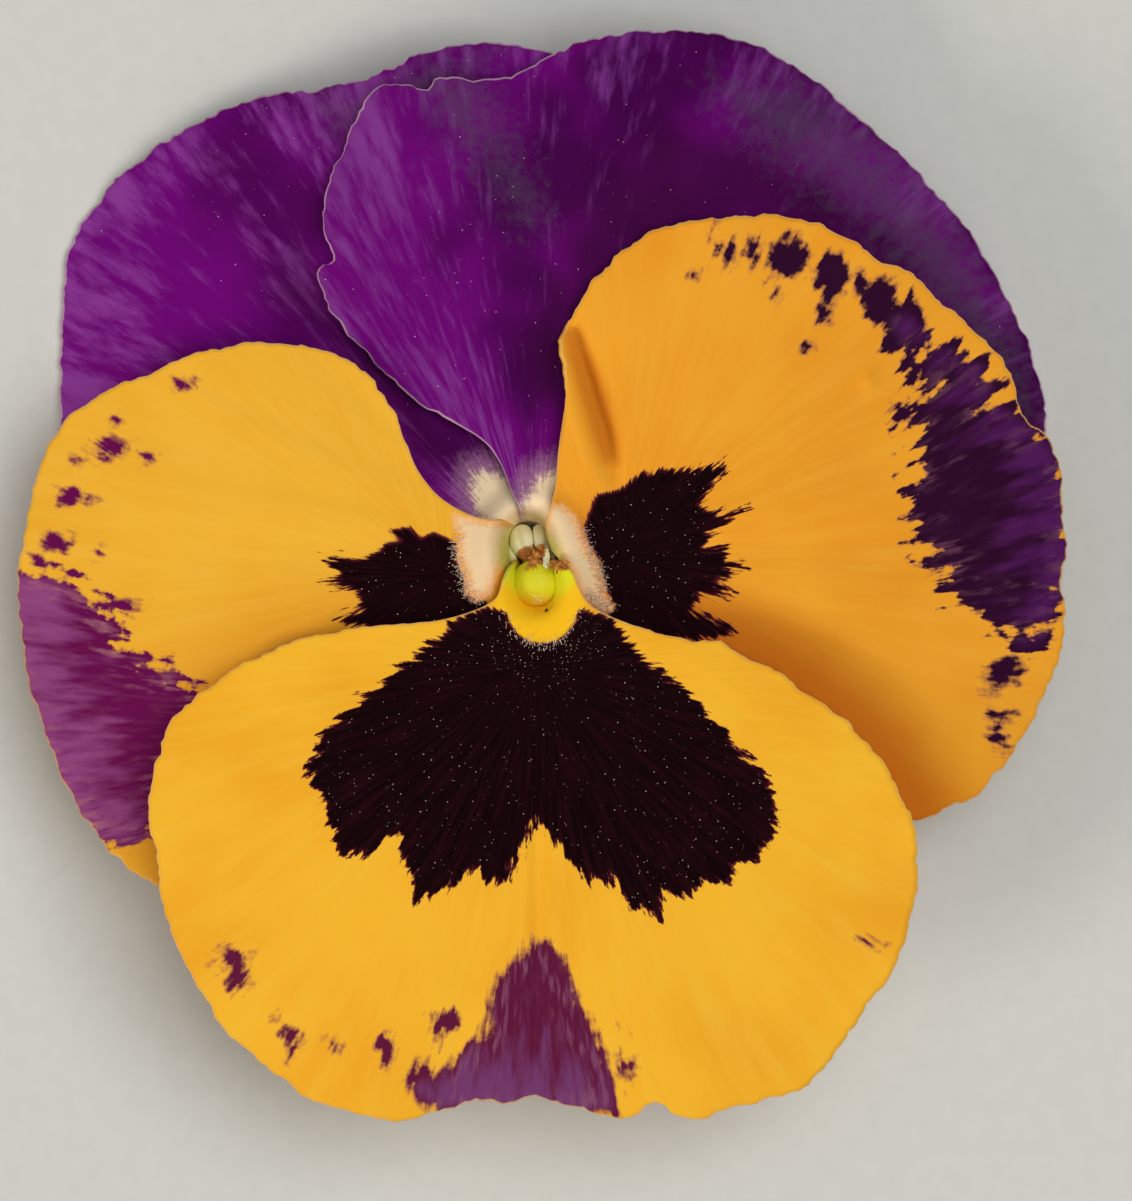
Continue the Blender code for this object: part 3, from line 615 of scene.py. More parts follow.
print("pale places:", len((LEFT_CUSHION, RIGHT_CUSHION, LEFT_CLAW, RIGHT_CLAW)))

# %% [markdown]
# Some places get painted shade, a deeper colour laid where shade falls: the crease of the right side
# petal, and the upper petals where they go under their neighbours. Others carry a cool sheen.

# %% Outlines of the painted shade and the cooler places
# Painted shade along the crease of the right side petal.
RIGHT_CREASE_SHADE = (
    (1.4, 13.3), (1.8, 13.3), (2.8, 11.4), (3.6, 9.4), (4.0, 7.4), (4.0, 6.3), (3.5, 6.3), (3.0, 7.8),
    (2.4, 9.8), (1.8, 11.8),
)
# Painted shade on the upper petals where they go under their neighbours.
LEFT_SHADE_UNDER_NEIGHBOUR = (
    (-13.5, 17.5), (-11.5, 13.6), (-8.2, 10.4), (-4.6, 8.0), (-3.6, 6.8), (-5.4, 5.6), (-7.0, 6.2),
    (-8.0, 9.2), (-9.6, 11.3), (-11.5, 12.6), (-14.5, 15.5),
)
RIGHT_SHADE_UNDER_NEIGHBOUR = ((2.4, 17.0), (0.9, 13.0), (1.3, 11.0), (1.1, 9.0), (0.0, 9.6), (-0.6, 12.0), (0.2, 16.5))
RIGHT_RIM_SHADE_UNDER_NEIGHBOUR = (
    (1.0, 14.0), (1.5, 18.5), (3.5, 22.0), (6.5, 24.5), (11.0, 23.8), (15.0, 22.0), (19.0, 19.4),
    (23.0, 16.0), (26.0, 12.0), (28.0, 7.5), (26.0, 8.0), (25.8, 11.2), (22.4, 14.7), (18.4, 17.4),
    (14.6, 19.5), (11.6, 19.7), (8.3, 19.4), (4.5, 17.8), (2.0, 14.0),
)
LEFT_COOL = (
    (-12.5, 26.4), (-9.5, 27.2), (-6.0, 28.5), (-2.5, 29.0), (-4.0, 27.0), (-8.0, 25.2), (-12.0, 24.2),
)
RIGHT_COOL_STREAKS = (
    (-6.4, 27.2), (-3.7, 27.6), (-1.8, 23.9), (0.2, 19.7), (-0.7, 19.0), (-3.4, 22.4), (-5.9, 25.0),
)
RIGHT_COOL_RIM = (
    (9.5, 26.8), (14.2, 27.6), (19.4, 23.4), (23.8, 18.0), (26.4, 12.8), (27.6, 8.6), (26.4, 8.8),
    (24.0, 12.0), (21.0, 15.8), (16.9, 20.2), (12.0, 23.6),
)
print("places in shade:", len((RIGHT_CREASE_SHADE, LEFT_SHADE_UNDER_NEIGHBOUR, RIGHT_SHADE_UNDER_NEIGHBOUR, RIGHT_RIM_SHADE_UNDER_NEIGHBOUR)))

# %% [markdown]
# Freckles are small ovals of the same pigment. Each has four numbers: x, y, half its width and half its
# height.

# %% Freckles
LOWER_FRECKLES = (
    (-8.6, -26.1, 0.49, 0.82), (-5.8, -24.9, 0.33, 0.6), (-5.1, -24.6, 0.49, 0.6),
    (-17.1, -21.0, 0.88, 0.49), (-17.8, -21.4, 0.33, 0.28), (-16.7, -22.3, 0.71, 0.77),
    (-13.9, -25.4, 0.55, 0.44), (-13.7, -26.1, 0.33, 0.39), (-11.3, -25.9, 0.39, 0.33),
    (18.0, -20.3, 0.49, 0.22), (4.4, -27.1, 0.28, 0.88), (4.9, -26.8, 0.33, 0.44),
    (-7.0, -27.7, 0.66, 0.44), (-14.5, -24.4, 0.22, 0.2), (-11.9, -25.7, 0.2, 0.2),
    (-6.5, -27.3, 0.49, 0.44),
)
LEFT_FRECKLES = (
    (-24.1, 6.9, 1.1, 0.55), (-19.9, 10.5, 0.49, 0.28), (-21.9, 6.5, 0.49, 0.28), (-23.2, 8.5, 0.33, 0.28),
    (-26.2, 4.3, 0.66, 0.44), (-26.8, 1.6, 0.88, 0.6), (-24.4, 1.2, 0.22, 0.2), (-22.8, -1.8, 0.55, 0.33),
    (-24.9, 4.1, 0.28, 0.22), (-27.7, 0.8, 0.39, 0.33), (-25.7, 6.3, 0.22, 0.2),
)
RIGHT_FRECKLES = (
    (9.3, 18.4, 0.22, 0.44), (10.3, 17.5, 0.33, 0.55), (11.6, 17.8, 0.49, 0.77), (13.6, 17.4, 1.04, 1.21),
    (15.9, 16.4, 1.04, 1.32), (17.5, 16.2, 0.49, 0.71), (18.6, 15.1, 1.1, 1.21), (15.4, 14.2, 0.44, 0.66),
    (14.5, 12.6, 0.2, 0.2), (20.0, 13.9, 1.21, 1.21), (25.6, -5.3, 0.94, 0.82), (24.6, -6.4, 0.44, 0.33),
    (25.2, -7.8, 0.66, 0.39), (25.2, -8.9, 0.49, 0.55), (25.4, -9.4, 0.28, 0.44), (8.4, 16.4, 0.22, 0.2),
    (12.9, 15.9, 0.33, 0.55),
)
print("freckles:", len(LOWER_FRECKLES + LEFT_FRECKLES + RIGHT_FRECKLES))

# %% [markdown]
# The distance from an outline is that from the nearest of its edges. Whether a point lies inside is told by
# counting how many edges a line from it to the right crosses. numpy does both for all the vertices at once.

# %% Distance from a marking
def inside_distance(points, outline):
    """How far each point lies inside a closed outline; outside it the number is negative."""
    nearest = np.full(len(points), 1e9)
    inside = np.zeros(len(points), bool)
    for (ax, ay), (bx, by) in zip(outline, outline[1:] + outline[:1]):
        along = np.array((bx - ax, by - ay))
        offset = points - (ax, ay)
        share = np.clip(offset @ along / (along @ along), 0.0, 1.0)
        nearest = np.minimum(nearest, np.hypot(*(offset - share[:, None] * along).T))
        if ay != by:
            spans = (ay > points[:, 1]) != (by > points[:, 1])
            inside ^= spans & (points[:, 0] < (bx - ax) * (points[:, 1] - ay) / (by - ay) + ax)
    return np.where(inside, nearest, -nearest)


def freckle_distance(points, freckles):
    """The same for a scatter of small oval freckles."""
    field = np.full(len(points), -1e9)
    for x, y, wide, high in freckles:
        oval = np.hypot((points[:, 0] - x) / wide, (points[:, 1] - y) / high)
        field = np.maximum(field, (1.0 - oval) * min(wide, high))
    return field


# Three of these distances carry painted shade, not pigment: where a side petal goes under the lower one,
# along the crease of the right side petal, and where the upper petals go under their neighbours.
MARKINGS = {
    "petal_lower": {"blotch": (LOWER_BLOTCH,), "patch": (LOWER_WEDGE,)},
    "petal_side_left": {"blotch": (LEFT_BLOTCH,), "patch": (LEFT_PATCH,), "cushion": (LEFT_CUSHION,),
                        "shade_under_lower": (LOWER,)},
    "petal_side_right": {"blotch": (RIGHT_BLOTCH,), "patch": (RIGHT_PATCH,), "cushion": (RIGHT_CUSHION,),
                         "shade_under_lower": (LOWER,), "crease": (RIGHT_CREASE_SHADE,)},
    "petal_upper_left": {"claw": (LEFT_CLAW,), "cool": (LEFT_COOL,), "shade_under_neighbour": (LEFT_SHADE_UNDER_NEIGHBOUR,)},
    "petal_upper_right": {"claw": (RIGHT_CLAW,), "cool": (RIGHT_COOL_STREAKS, RIGHT_COOL_RIM),
                          "shade_under_neighbour": (RIGHT_SHADE_UNDER_NEIGHBOUR, RIGHT_RIM_SHADE_UNDER_NEIGHBOUR)},
}
FRECKLES = {
    "petal_lower": LOWER_FRECKLES,
    "petal_side_left": LEFT_FRECKLES,
    "petal_side_right": RIGHT_FRECKLES,
}
print("markings:", {name: list(kinds) for name, kinds in MARKINGS.items()})

# %% [markdown]
# Every petal's mesh starts as a flat disc of rings and spokes. One line of vertices is spun all the way
# round, which leaves no seam. Then each spoke is drawn out to the rim, each vertex is lifted to its height,
# and a Solidify modifier gives the blade its thickness on the side away from the viewer.
#
# A fan of spokes suits a petal, because its rim can be as fine as a spoke is narrow, while the faces stay
# well shaped in between. Solidify gives the underside and the cut of the rim materials of their own. First
# come three tools: one spins the disc, one makes any finished shape an object of the frame, and one stores
# numbers on its vertices.

# %% Tools for meshes
def wheel(spokes, rings):
    """A flat disc of radius 1, spun from a line of vertices."""
    shape = bmesh.new()
    line = [shape.verts.new((number / rings, 0.0, 0.0)) for number in range(rings + 1)]
    edges = [shape.edges.new(pair) for pair in zip(line, line[1:])]
    bmesh.ops.spin(shape, geom=line + edges, cent=(0.0, 0.0, 0.0), axis=(0.0, 0.0, 1.0),
                   angle=math.tau, steps=spokes, use_merge=True)
    bmesh.ops.remove_doubles(shape, verts=shape.verts, dist=1e-5)
    return shape


def finish_mesh(name, shape, materials, replaced=()):
    """Scales a shape to metres, makes its object, and tells the frame what it is."""
    bmesh.ops.scale(shape, vec=(MM, MM, MM), verts=shape.verts)
    mesh = bpy.data.meshes.new(name)
    shape.to_mesh(mesh)
    shape.free()
    mesh.shade_smooth()
    for each in materials:
        mesh.materials.append(each)
    piece = bpy.data.objects.new(name, mesh)
    bpy.context.scene.collection.objects.link(piece)
    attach(piece, "root")
    if replaced:
        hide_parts(*replaced)
    return piece


def face_up(shape):
    """Turns the faces of an open blade towards the viewer."""
    bmesh.ops.recalc_face_normals(shape, faces=shape.faces)
    if sum(face.normal.z for face in shape.faces) < 0:
        bmesh.ops.reverse_faces(shape, faces=shape.faces)


def keep_numbers(piece, name, values):
    """Stores one number for each vertex, which the material reads by its name."""
    kept = piece.data.attributes.new(name, "FLOAT", "POINT")
    kept.data.foreach_set("value", np.asarray(values, np.float32))


sample = wheel(8, 2)
print("a disc of 8 spokes and 2 rings has", len(sample.verts), "vertices")
sample.free()

# %% [markdown]
# The petal itself. Its mesh keeps how far each vertex lies from the rim, called its margin, and the
# distance of each marking, which its finish reads by their names.

# %% Mesh of a petal
SPOKES = 440
RINGS = 60


def petal(node, name, materials):
    """One whole petal. Its materials are those of its face, its back and its rim."""
    form = PETALS[node]
    middle = Vector(form["middle"])
    rim = scalloped(rim_points(form["outline"], SPOKES), form["layer"] * 7.0 + 1.0)
    shape = wheel(SPOKES, RINGS)
    margin = []
    for vert in shape.verts:
        ring = vert.co.xy.length
        spoke = round(math.atan2(vert.co.y, vert.co.x) / math.tau * SPOKES) % SPOKES
        point = middle.lerp(rim[spoke], ring)
        margin.append((1.0 - ring) * (rim[spoke] - middle).length)
        vert.co = (point.x, point.y, petal_height(node, point, ring))
    face_up(shape)
    flat = np.array([vert.co.xy for vert in shape.verts])
    piece = finish_mesh(name, shape, materials, (node,))
    keep_numbers(piece, "margin", margin)
    for marking, outlines in MARKINGS[node].items():
        inside = [inside_distance(flat, outline) for outline in outlines]
        keep_numbers(piece, marking, np.max(inside, axis=0))
    if node in FRECKLES:
        keep_numbers(piece, "freckle", freckle_distance(flat, FRECKLES[node]))
    blade = piece.modifiers.new("Blade", "SOLIDIFY")
    blade.thickness = BLADE_THICKNESS * MM
    blade.offset = -1.0
    blade.material_offset = 1
    blade.material_offset_rim = 2
    print(name, len(flat), "vertices, lowest", round(min(v.co.z for v in piece.data.vertices) / MM, 2), "mm")


print("triangles of a petal's face:", SPOKES * (2 * RINGS - 1))

# %% [markdown]
# Every finish of a petal needs to know where it is on the flower. Object coordinates give the place in
# metres, and one Mapping node turns them to millimetres about the claw. A petal's cells and veins run out
# from the claw, so noise read at (direction, distance) and squeezed along the distance gives streaks that
# fan out as they do. A direction has to jump somewhere from one end of its count to the other, which would
# cut a line through the streaks, so the fan is turned until the jump lies off the petal.
#
# One unit of the noise is 1 mm wide where a streak is 14 mm out from the claw, about the middle of a blade.
# So every scale below is 1 divided by a size in millimetres: the size of a cloud or grain, or the width of
# a streak there.

# %% Directions on a petal
FAN_ARC = 14.0  # units of the noise for one radian across the cells
FAN_SQUEEZE = 0.12  # and for one millimetre along them
UPWARD = -math.pi  # directions count from straight down
UP_RIGHT = 0.75 * math.pi


def face_place(tree, centre=(-0.3, 0.6)):
    """Place in mm from a centre. Y is turned over, so that directions count from straight down."""
    place = add_node(tree, "TexCoord")
    return add_node(tree, "Mapping", {},
                    {"Vector": place.outputs["Object"], "Location": (-centre[0], centre[1], 0.0),
                     "Scale": (1 / MM, -1 / MM, 0.0)})


def reach_from(tree, face):
    """Distance from the centre in mm."""
    return add_node(tree, "VectorMath", {"operation": "LENGTH"}, {0: face}).outputs["Value"]


def fan_place(tree, face, facing=0.0):
    """A vector whose noise streaks run out from the centre.

    facing is the direction that the petal takes. Where the count of directions jumps lies opposite it.
    """
    turned = add_node(tree, "Mapping", {}, {"Vector": face, "Rotation": (0.0, 0.0, facing)})
    parts = add_node(tree, "SeparateXYZ", {}, {"Vector": turned})
    angle = add_node(tree, "Math", {"operation": "ARCTAN2"}, {0: parts.outputs["X"], 1: parts.outputs["Y"]})
    across = add_node(tree, "Math", MULTIPLY_ADD, {0: angle, 1: FAN_ARC, 2: facing * FAN_ARC})
    out = add_node(tree, "Math", {"operation": "MULTIPLY"}, {0: reach_from(tree, face), 1: FAN_SQUEEZE})
    return add_node(tree, "CombineXYZ", {}, {"X": across, "Y": out})


print("a streak 1 mm wide is", round(1 / FAN_SQUEEZE, 1), "mm long")

# %% [markdown]
# The yellow petals. A living pansy petal is a thin sheet of water-filled cells whose upper skin stands up
# in tiny cones. The cones scatter the light, so the petal looks matt, and the yellow pigment under them is
# very saturated. Where purple pigment lies over yellow it turns nearly black.
#
# The material is laid on in the petal's own order, one function a layer, and each function takes the colour
# below and gives back the colour with its layer on. First comes the yellow ground, with broad warm clouds
# and faint streaks along the cells. A picture could hold them too, but noise stays sharp however close the
# camera comes.

# %% Yellow ground
YELLOW_CLOUD = 9.09
YELLOW_STREAK = 0.77  # a bundle of about 25 cells; single ones, 0.03 mm wide, wouldn't show


def yellow_ground(tree, face, fan, ground, shade, glow):
    """Gives the ground colour and the streaks, which the relief uses again."""
    clouds = add_node(tree, "TexNoise", {}, {"Vector": face, "Scale": 1 / YELLOW_CLOUD})
    cloudy = add_node(tree, "MapRange", SMOOTH, {"Value": clouds, **rise(0.35, 0.68)})
    warm = add_node(tree, "Mix", COLOUR, {"Factor": cloudy, "A": ground, "B": shade})
    streaks = add_node(tree, "TexNoise", {},
                       {"Vector": fan, "Scale": 1 / YELLOW_STREAK, "Detail": 4.0, "Roughness": 0.55})
    bright = add_node(tree, "MapRange", SMOOTH, {"Value": streaks, **rise(0.35, 0.75, 0.5)})
    yellow = add_node(tree, "Mix", COLOUR, {"Factor": bright, "A": warm, "B": glow})
    return yellow, streaks


print("warm clouds", YELLOW_CLOUD, "mm across, streaks", YELLOW_STREAK, "mm wide")

# %% [markdown]
# Round the throat the pigment changes smoothly, as a dye does that was let run: a bright guide lies in
# front of it, and its inside is green. Both are soft ovals. In the folds the colour is deeper with painted
# shade, and there the distance kept on the mesh says how far in a place is.

# %% Guide, green throat and painted shade in folds
GUIDE = ((-0.1, -1.2), (2.4, 3.0), (1.3, 0.8), 1.0, "#FFC41E")
LOWER_GREEN = ((-0.1, 0.35), (2.1, 2.0), (1.15, 0.75), 1.0, "#E2E026")
LEFT_GREEN = ((-1.1, 1.2), (1.6, 1.9), (1.1, 0.55), 0.75, "#BCCB66")
RIGHT_GREEN = ((-0.2, 0.8), (1.6, 1.9), (1.1, 0.55), 0.75, "#BCCB66")


def throat_oval(tree, under, middle, half, edge, share, colour):
    """A soft-edged oval: its middle and half sizes are in mm, and its edge in shares of the half sizes."""
    place = add_node(tree, "TexCoord")
    oval = add_node(tree, "Mapping", {},
                    {"Vector": place.outputs["Object"],
                     "Location": (-middle[0] / half[0], -middle[1] / half[1], 0.0),
                     "Scale": (1 / MM / half[0], 1 / MM / half[1], 0.0)})
    inside = add_node(tree, "MapRange", SMOOTH,
                      {"Value": reach_from(tree, oval), **rise(*edge, share)})
    return add_node(tree, "Mix", COLOUR, {"Factor": inside, "A": under, "B": colour})


def painted_shade_layer(tree, under, name, edge, share, colour):
    """Painted shade: deeper colour where a marking's distance, kept in an attribute, rises past an edge."""
    fold = add_node(tree, "Attribute", {"attribute_name": name})
    inside = add_node(tree, "MapRange", SMOOTH,
                      {"Value": fold.outputs["Fac"], **rise(*edge, share)})
    return add_node(tree, "Mix", COLOUR, {"Factor": inside, "A": under, "B": colour})


print("guide", 2 * GUIDE[1][0], "mm wide and", 2 * GUIDE[1][1], "mm high")

# %% [markdown]
# The purple patch and the freckles are made of rows of cells, so their teeth are dashes: noise along the
# rows is added to the distance from the outline, and rounder noise takes bites out of it. The rows run out
# from a place of their own on each petal, because a real blade is curved and turns them.

# %% Edges of the purple patch and the freckles
DASH_WIDTH = 0.435
BITE_SIZE = 1.11
ROW_WIDTH = 0.227  # several real rows of cells, which are too fine to show
FRECKLE_DASH = 1.3  # how far the rows push a freckle's edge
FRECKLE_BITE = 1.8  # and how far the bites do


def pushed(tree, edge, pattern, amount):
    """Moves an edge in and out by a noise, which is counted from its middle."""
    middle = add_node(tree, "Math", {"operation": "SUBTRACT"}, {0: pattern, 1: 0.5})
    return add_node(tree, "Math", MULTIPLY_ADD, {0: middle, 1: amount, 2: edge})


def patch_edge(tree, rows_from, dash_length, bite_depth):
    """Gives how far inside the pigment a place is, the dashes and the rows. All lengths are in mm."""
    face = face_place(tree, rows_from)
    fan = fan_place(tree, face)
    dashes = add_node(tree, "TexNoise", {}, {"Vector": fan, "Scale": 1 / DASH_WIDTH, "Detail": 3.0})
    patch = add_node(tree, "Attribute", {"attribute_name": "patch"})
    toothed = pushed(tree, patch.outputs["Fac"], dashes, dash_length)
    bites = add_node(tree, "TexNoise", {},
                     {"Vector": face, "Scale": 1 / BITE_SIZE, "Detail": 4.0, "Roughness": 0.6})
    bitten = pushed(tree, toothed, bites, bite_depth)
    rows = add_node(tree, "TexNoise", {}, {"Vector": fan, "Scale": 1 / ROW_WIDTH})
    freckle = add_node(tree, "Attribute", {"attribute_name": "freckle"})
    torn = pushed(tree, freckle.outputs["Fac"], rows, FRECKLE_DASH)
    ragged = pushed(tree, torn, bites, FRECKLE_BITE)
    edge = add_node(tree, "Math", {"operation": "MAXIMUM"}, {0: bitten, 1: ragged})
    return edge, dashes, rows


print("dashes", DASH_WIDTH, "mm wide, bites", BITE_SIZE, "mm across")

# %% [markdown]
# Where the purple pigment is thin over the yellow it looks tan, which makes a fringe round the patch.
# Inside, the violet is lighter towards the rim of the petal, and between the rows of cells it is paler,
# most of all near the edge.

# %% Colours of the purple patch
RIM_LIGHTENING = -0.075  # what each millimetre away from the rim takes off the light share


def purple_patch(tree, under, teeth, dark, light, thin):
    """teeth are where the rows run out from, the length of the dashes and the depth of the bites."""
    edge, dashes, rows = patch_edge(tree, *teeth)
    fringe = add_node(tree, "MapRange", SMOOTH, {"Value": edge, **rise(-0.3, 0.08, 0.7)})
    tinted = add_node(tree, "Mix", COLOUR, {"Factor": fringe, "A": under, "B": "#B06A48"})

    # Lighter towards the rim
    margin = add_node(tree, "Attribute", {"attribute_name": "margin"})
    outward = add_node(tree, "Math", MULTIPLY_ADD, {0: margin.outputs["Fac"], 1: RIM_LIGHTENING, 2: dashes})
    lighter = add_node(tree, "MapRange", SMOOTH, {"Value": outward, **rise(0.16, 0.54)})
    patch = add_node(tree, "Attribute", {"attribute_name": "patch"})
    deep = add_node(tree, "MapRange", SMOOTH, {"Value": patch.outputs["Fac"], **rise(-0.2, 0.9)})
    light_share = add_node(tree, "Math", {"operation": "MULTIPLY"}, {0: lighter, 1: deep})
    violet = add_node(tree, "Mix", COLOUR, {"Factor": light_share, "A": dark, "B": light})

    # Paler between the rows
    near_edge = add_node(tree, "MapRange", SMOOTH,
                         {"Value": edge, **rise(2.2, 0.3, 0.7, 0.06)})
    gap = add_node(tree, "MapRange", SMOOTH, {"Value": rows, **rise(0.46, 0.64)})
    gap_share = add_node(tree, "Math", {"operation": "MULTIPLY"}, {0: near_edge, 1: gap})
    between = add_node(tree, "Math", {"operation": "MULTIPLY"}, {0: gap_share, 1: deep})
    thinned = add_node(tree, "Mix", COLOUR, {"Factor": between, "A": violet, "B": thin})
    solid = add_node(tree, "MapRange", SMOOTH, {"Value": edge, **rise(-0.06, 0.26)})
    return add_node(tree, "Mix", COLOUR, {"Factor": solid, "A": tinted, "B": thinned})


print("the patch is at its lightest", round(0.54 / -RIM_LIGHTENING, 1), "mm or less from the rim")

# %% [markdown]
# The blotch is the densest pigment, and its teeth are finer and shorter than the dashes. They fade out
# towards the throat, where its edge is clean. A thin plum fringe comes before the near-black velvet, and
# faint rows of cells keep the velvet from looking flat.

# %% Dark blotch
TOOTH_WIDTH = 0.588
TOOTH_SHORTENING = 2.6  # the teeth are so many times shorter than a streak
BLOTCH_ROW = 0.417  # drawn wide enough to show
TOOTH_ZONE = (2.0, 7.5)  # distances from the claw over which the teeth grow


def dark_blotch(tree, under, face, fan):
    """Velvet of upright cells full of pigment: nearly black, because it gives back almost no light."""
    short = add_node(tree, "Mapping", {}, {"Vector": fan, "Scale": (1.0, TOOTH_SHORTENING, 1.0)})
    teeth = add_node(tree, "TexNoise", {},
                     {"Vector": short, "Scale": 1 / TOOTH_WIDTH, "Detail": 5.0, "Roughness": 0.66})
    length = add_node(tree, "MapRange", SMOOTH,
                      {"Value": reach_from(tree, face), **rise(*TOOTH_ZONE, 2.8, 0.25)})
    blotch = add_node(tree, "Attribute", {"attribute_name": "blotch"})
    edge = pushed(tree, blotch.outputs["Fac"], teeth, length)
    plum = add_node(tree, "MapRange", SMOOTH, {"Value": edge, **rise(-0.09, 0.05)})
    fringed = add_node(tree, "Mix", COLOUR, {"Factor": plum, "A": under, "B": "#561426"})
    rows = add_node(tree, "TexNoise", {},
                    {"Vector": fan, "Scale": 1 / BLOTCH_ROW, "Detail": 4.0, "Roughness": 0.65})
    row = add_node(tree, "MapRange", SMOOTH, {"Value": rows, **rise(0.38, 0.78)})
    velvet = add_node(tree, "Mix", COLOUR, {"Factor": row, "A": "#110204", "B": "#280810"})
    solid = add_node(tree, "MapRange", SMOOTH, {"Value": edge, **rise(0.02, 0.22)})
    return add_node(tree, "Mix", COLOUR, {"Factor": solid, "A": fringed, "B": velvet})


print("teeth", TOOTH_WIDTH, "mm wide and", round(TOOTH_WIDTH / FAN_SQUEEZE / TOOTH_SHORTENING, 1), "mm long")

# %% [markdown]
# Beside the throat the side petals carry a pale cushion with a rosy, frayed border. Along its rim every
# petal has a pale line, a painted highlight where the thin edge catches the light; noise makes it stronger
# in some places than in others.

# %% Cushion and painted rim highlight
LINT_SIZE = 0.286
RIM_PATCH = 2.0  # length of a strong or weak part of the rim's line
RIM_WIDENING = -0.16  # how far the noise widens the line, in mm


def pale_cushion(tree, under, face):
    """Colourless swollen cells: pale and downy, with a rosy border where the pigment starts."""
    cushion = add_node(tree, "Attribute", {"attribute_name": "cushion"})
    lint = add_node(tree, "TexNoise", {}, {"Vector": face, "Scale": 1 / LINT_SIZE, "Detail": 4.0})
    frayed = pushed(tree, cushion.outputs["Fac"], lint, 0.9)
    border = add_node(tree, "MapRange", SMOOTH, {"Value": frayed, **rise(-0.2, 0.14)})
    rosy = add_node(tree, "Mix", COLOUR, {"Factor": border, "A": under, "B": "#F6B878"})
    inside = add_node(tree, "MapRange", SMOOTH, {"Value": frayed, **rise(0.05, 0.6)})
    return add_node(tree, "Mix", COLOUR, {"Factor": inside, "A": rosy, "B": "#F2D2A4"})


def painted_rim_highlight(tree, under, face, share, colour):
    """Painted highlight: the pale line along the rim, where the thin edge catches the light."""
    margin = add_node(tree, "Attribute", {"attribute_name": "margin"})
    patchy = add_node(tree, "TexNoise", {}, {"Vector": face, "Scale": 1 / RIM_PATCH})
    thin = add_node(tree, "Math", MULTIPLY_ADD, {0: patchy, 1: RIM_WIDENING, 2: margin.outputs["Fac"]})
    line = add_node(tree, "MapRange", SMOOTH, {"Value": thin, **rise(0.04, -0.06, share)})
    return add_node(tree, "Mix", COLOUR, {"Factor": line, "A": under, "B": colour})


print("rim line up to", round(0.04 - RIM_WIDENING * 0.7, 2), "mm wide")

# %% [markdown]
# The relief of the skin has two sizes: the streaks along the cells, and the cones of the skin, drawn 0.12
# mm apart because the real 0.03 mm would be lost in the picture. The cones scatter nearly all the light, so
# the skin is rough and has almost no mirror-like shine. A petal's cells are mostly water, so its IOR is
# 1.4.

# %% Relief of the skin
CONE_SPACING = 0.125
CONE_HEIGHT = 0.03


def petal_skin(tree, shader, colour, face, streaks, streak_height):
    """Matt skin of cone-shaped cells. Heights are in mm."""
    ridges = add_node(tree, "Bump", {},
                      {"Height": streaks, "Strength": 0.4, "Distance": streak_height * MM})
    cones = add_node(tree, "TexNoise", {}, {"Vector": face, "Scale": 1 / CONE_SPACING})
    skin = add_node(tree, "Bump", {},
                    {"Height": cones, "Strength": 0.3, "Distance": CONE_HEIGHT * MM, "Normal": ridges})
    lay_on(tree, shader, colour, {"Roughness": 0.72, "IOR": 1.4, "Specular IOR Level": 0.04}, skin)


print("cones", CONE_SPACING, "mm apart and", CONE_HEIGHT, "mm high")

# %% [markdown]
# The layers put together. The three yellow petals differ. The lower one is the purest yellow. The left one
# is a little cooler, and its patch is the pinkest and the most broken. The right one lies in slight shade,
# which is painted into its more orange colours; it has the darkest patch and painted shade along its
# crease. Both side petals have painted shade where they go under the lower one.

# %% Skins of the yellow petals
def yellow_petal(name, yellows, violets, centre, facing, teeth, folds, green, cushioned):
    """Matt skin of one yellow petal. centre and facing are those of its fan of cells; folds hold painted
    shade.
    """
    made, tree, shader = blank_material(name)
    face = face_place(tree, centre)
    fan = fan_place(tree, face, facing)
    colour, streaks = yellow_ground(tree, face, fan, *yellows)
    colour = throat_oval(tree, colour, *GUIDE)
    # Painted shade where the petal goes under the lower one, and along the right one's crease.
    for fold in folds:
        colour = painted_shade_layer(tree, colour, *fold)
    colour = purple_patch(tree, colour, teeth, *violets)
    colour = dark_blotch(tree, colour, face, fan)
    if cushioned:
        colour = pale_cushion(tree, colour, face)
    colour = painted_rim_highlight(tree, colour, face, 0.7, "#F6BC74")
    colour = throat_oval(tree, colour, *green)
    petal_skin(tree, shader, colour, face, streaks, 0.1)
    return made


lower_skin = yellow_petal(
    "matt_skin_of_lower_petal", ("#F9B92E", "#F4AA26", "#F9C03A"), ("#62183A", "#743A6C", "#8E5474"),
    centre=(-0.3, -5.0), facing=0.0, teeth=((-0.3, -5.0), 2.2, 1.2),
    folds=(), green=LOWER_GREEN, cushioned=False)
left_skin = yellow_petal(
    "matt_skin_of_left_petal", ("#F5B635", "#F1AE2D", "#F8BD40"), ("#680E4C", "#90447E", "#A8687A"),
    centre=(-5.2, 0.0), facing=UPWARD, teeth=((-1.0, -8.0), 3.6, 3.6),
    # painted shade where this petal goes under the lower one
    folds=(("shade_under_lower", (-5.0, -0.3), 0.25, "#BC5C10"),), green=LEFT_GREEN, cushioned=True)
right_skin = yellow_petal(
    # its more orange yellows are painted shade: this petal lies in slight shade
    "matt_skin_of_right_petal", ("#F9A82C", "#F29E26", "#FAB038"), ("#300A2A", "#541A5A", "#70405A"),
    centre=(4.2, 1.0), facing=UP_RIGHT, teeth=((0.0, -6.0), 7.0, 3.2),
    # painted shade where this petal goes under the lower one, and along its crease
    folds=(("shade_under_lower", (-5.0, -0.3), 0.8, "#BC5C10"), ("crease", (-0.7, 0.35), 0.58, "#B45410")),
    green=RIGHT_GREEN, cushioned=True)
print("nodes of the right skin:", len(right_skin.node_tree.nodes))

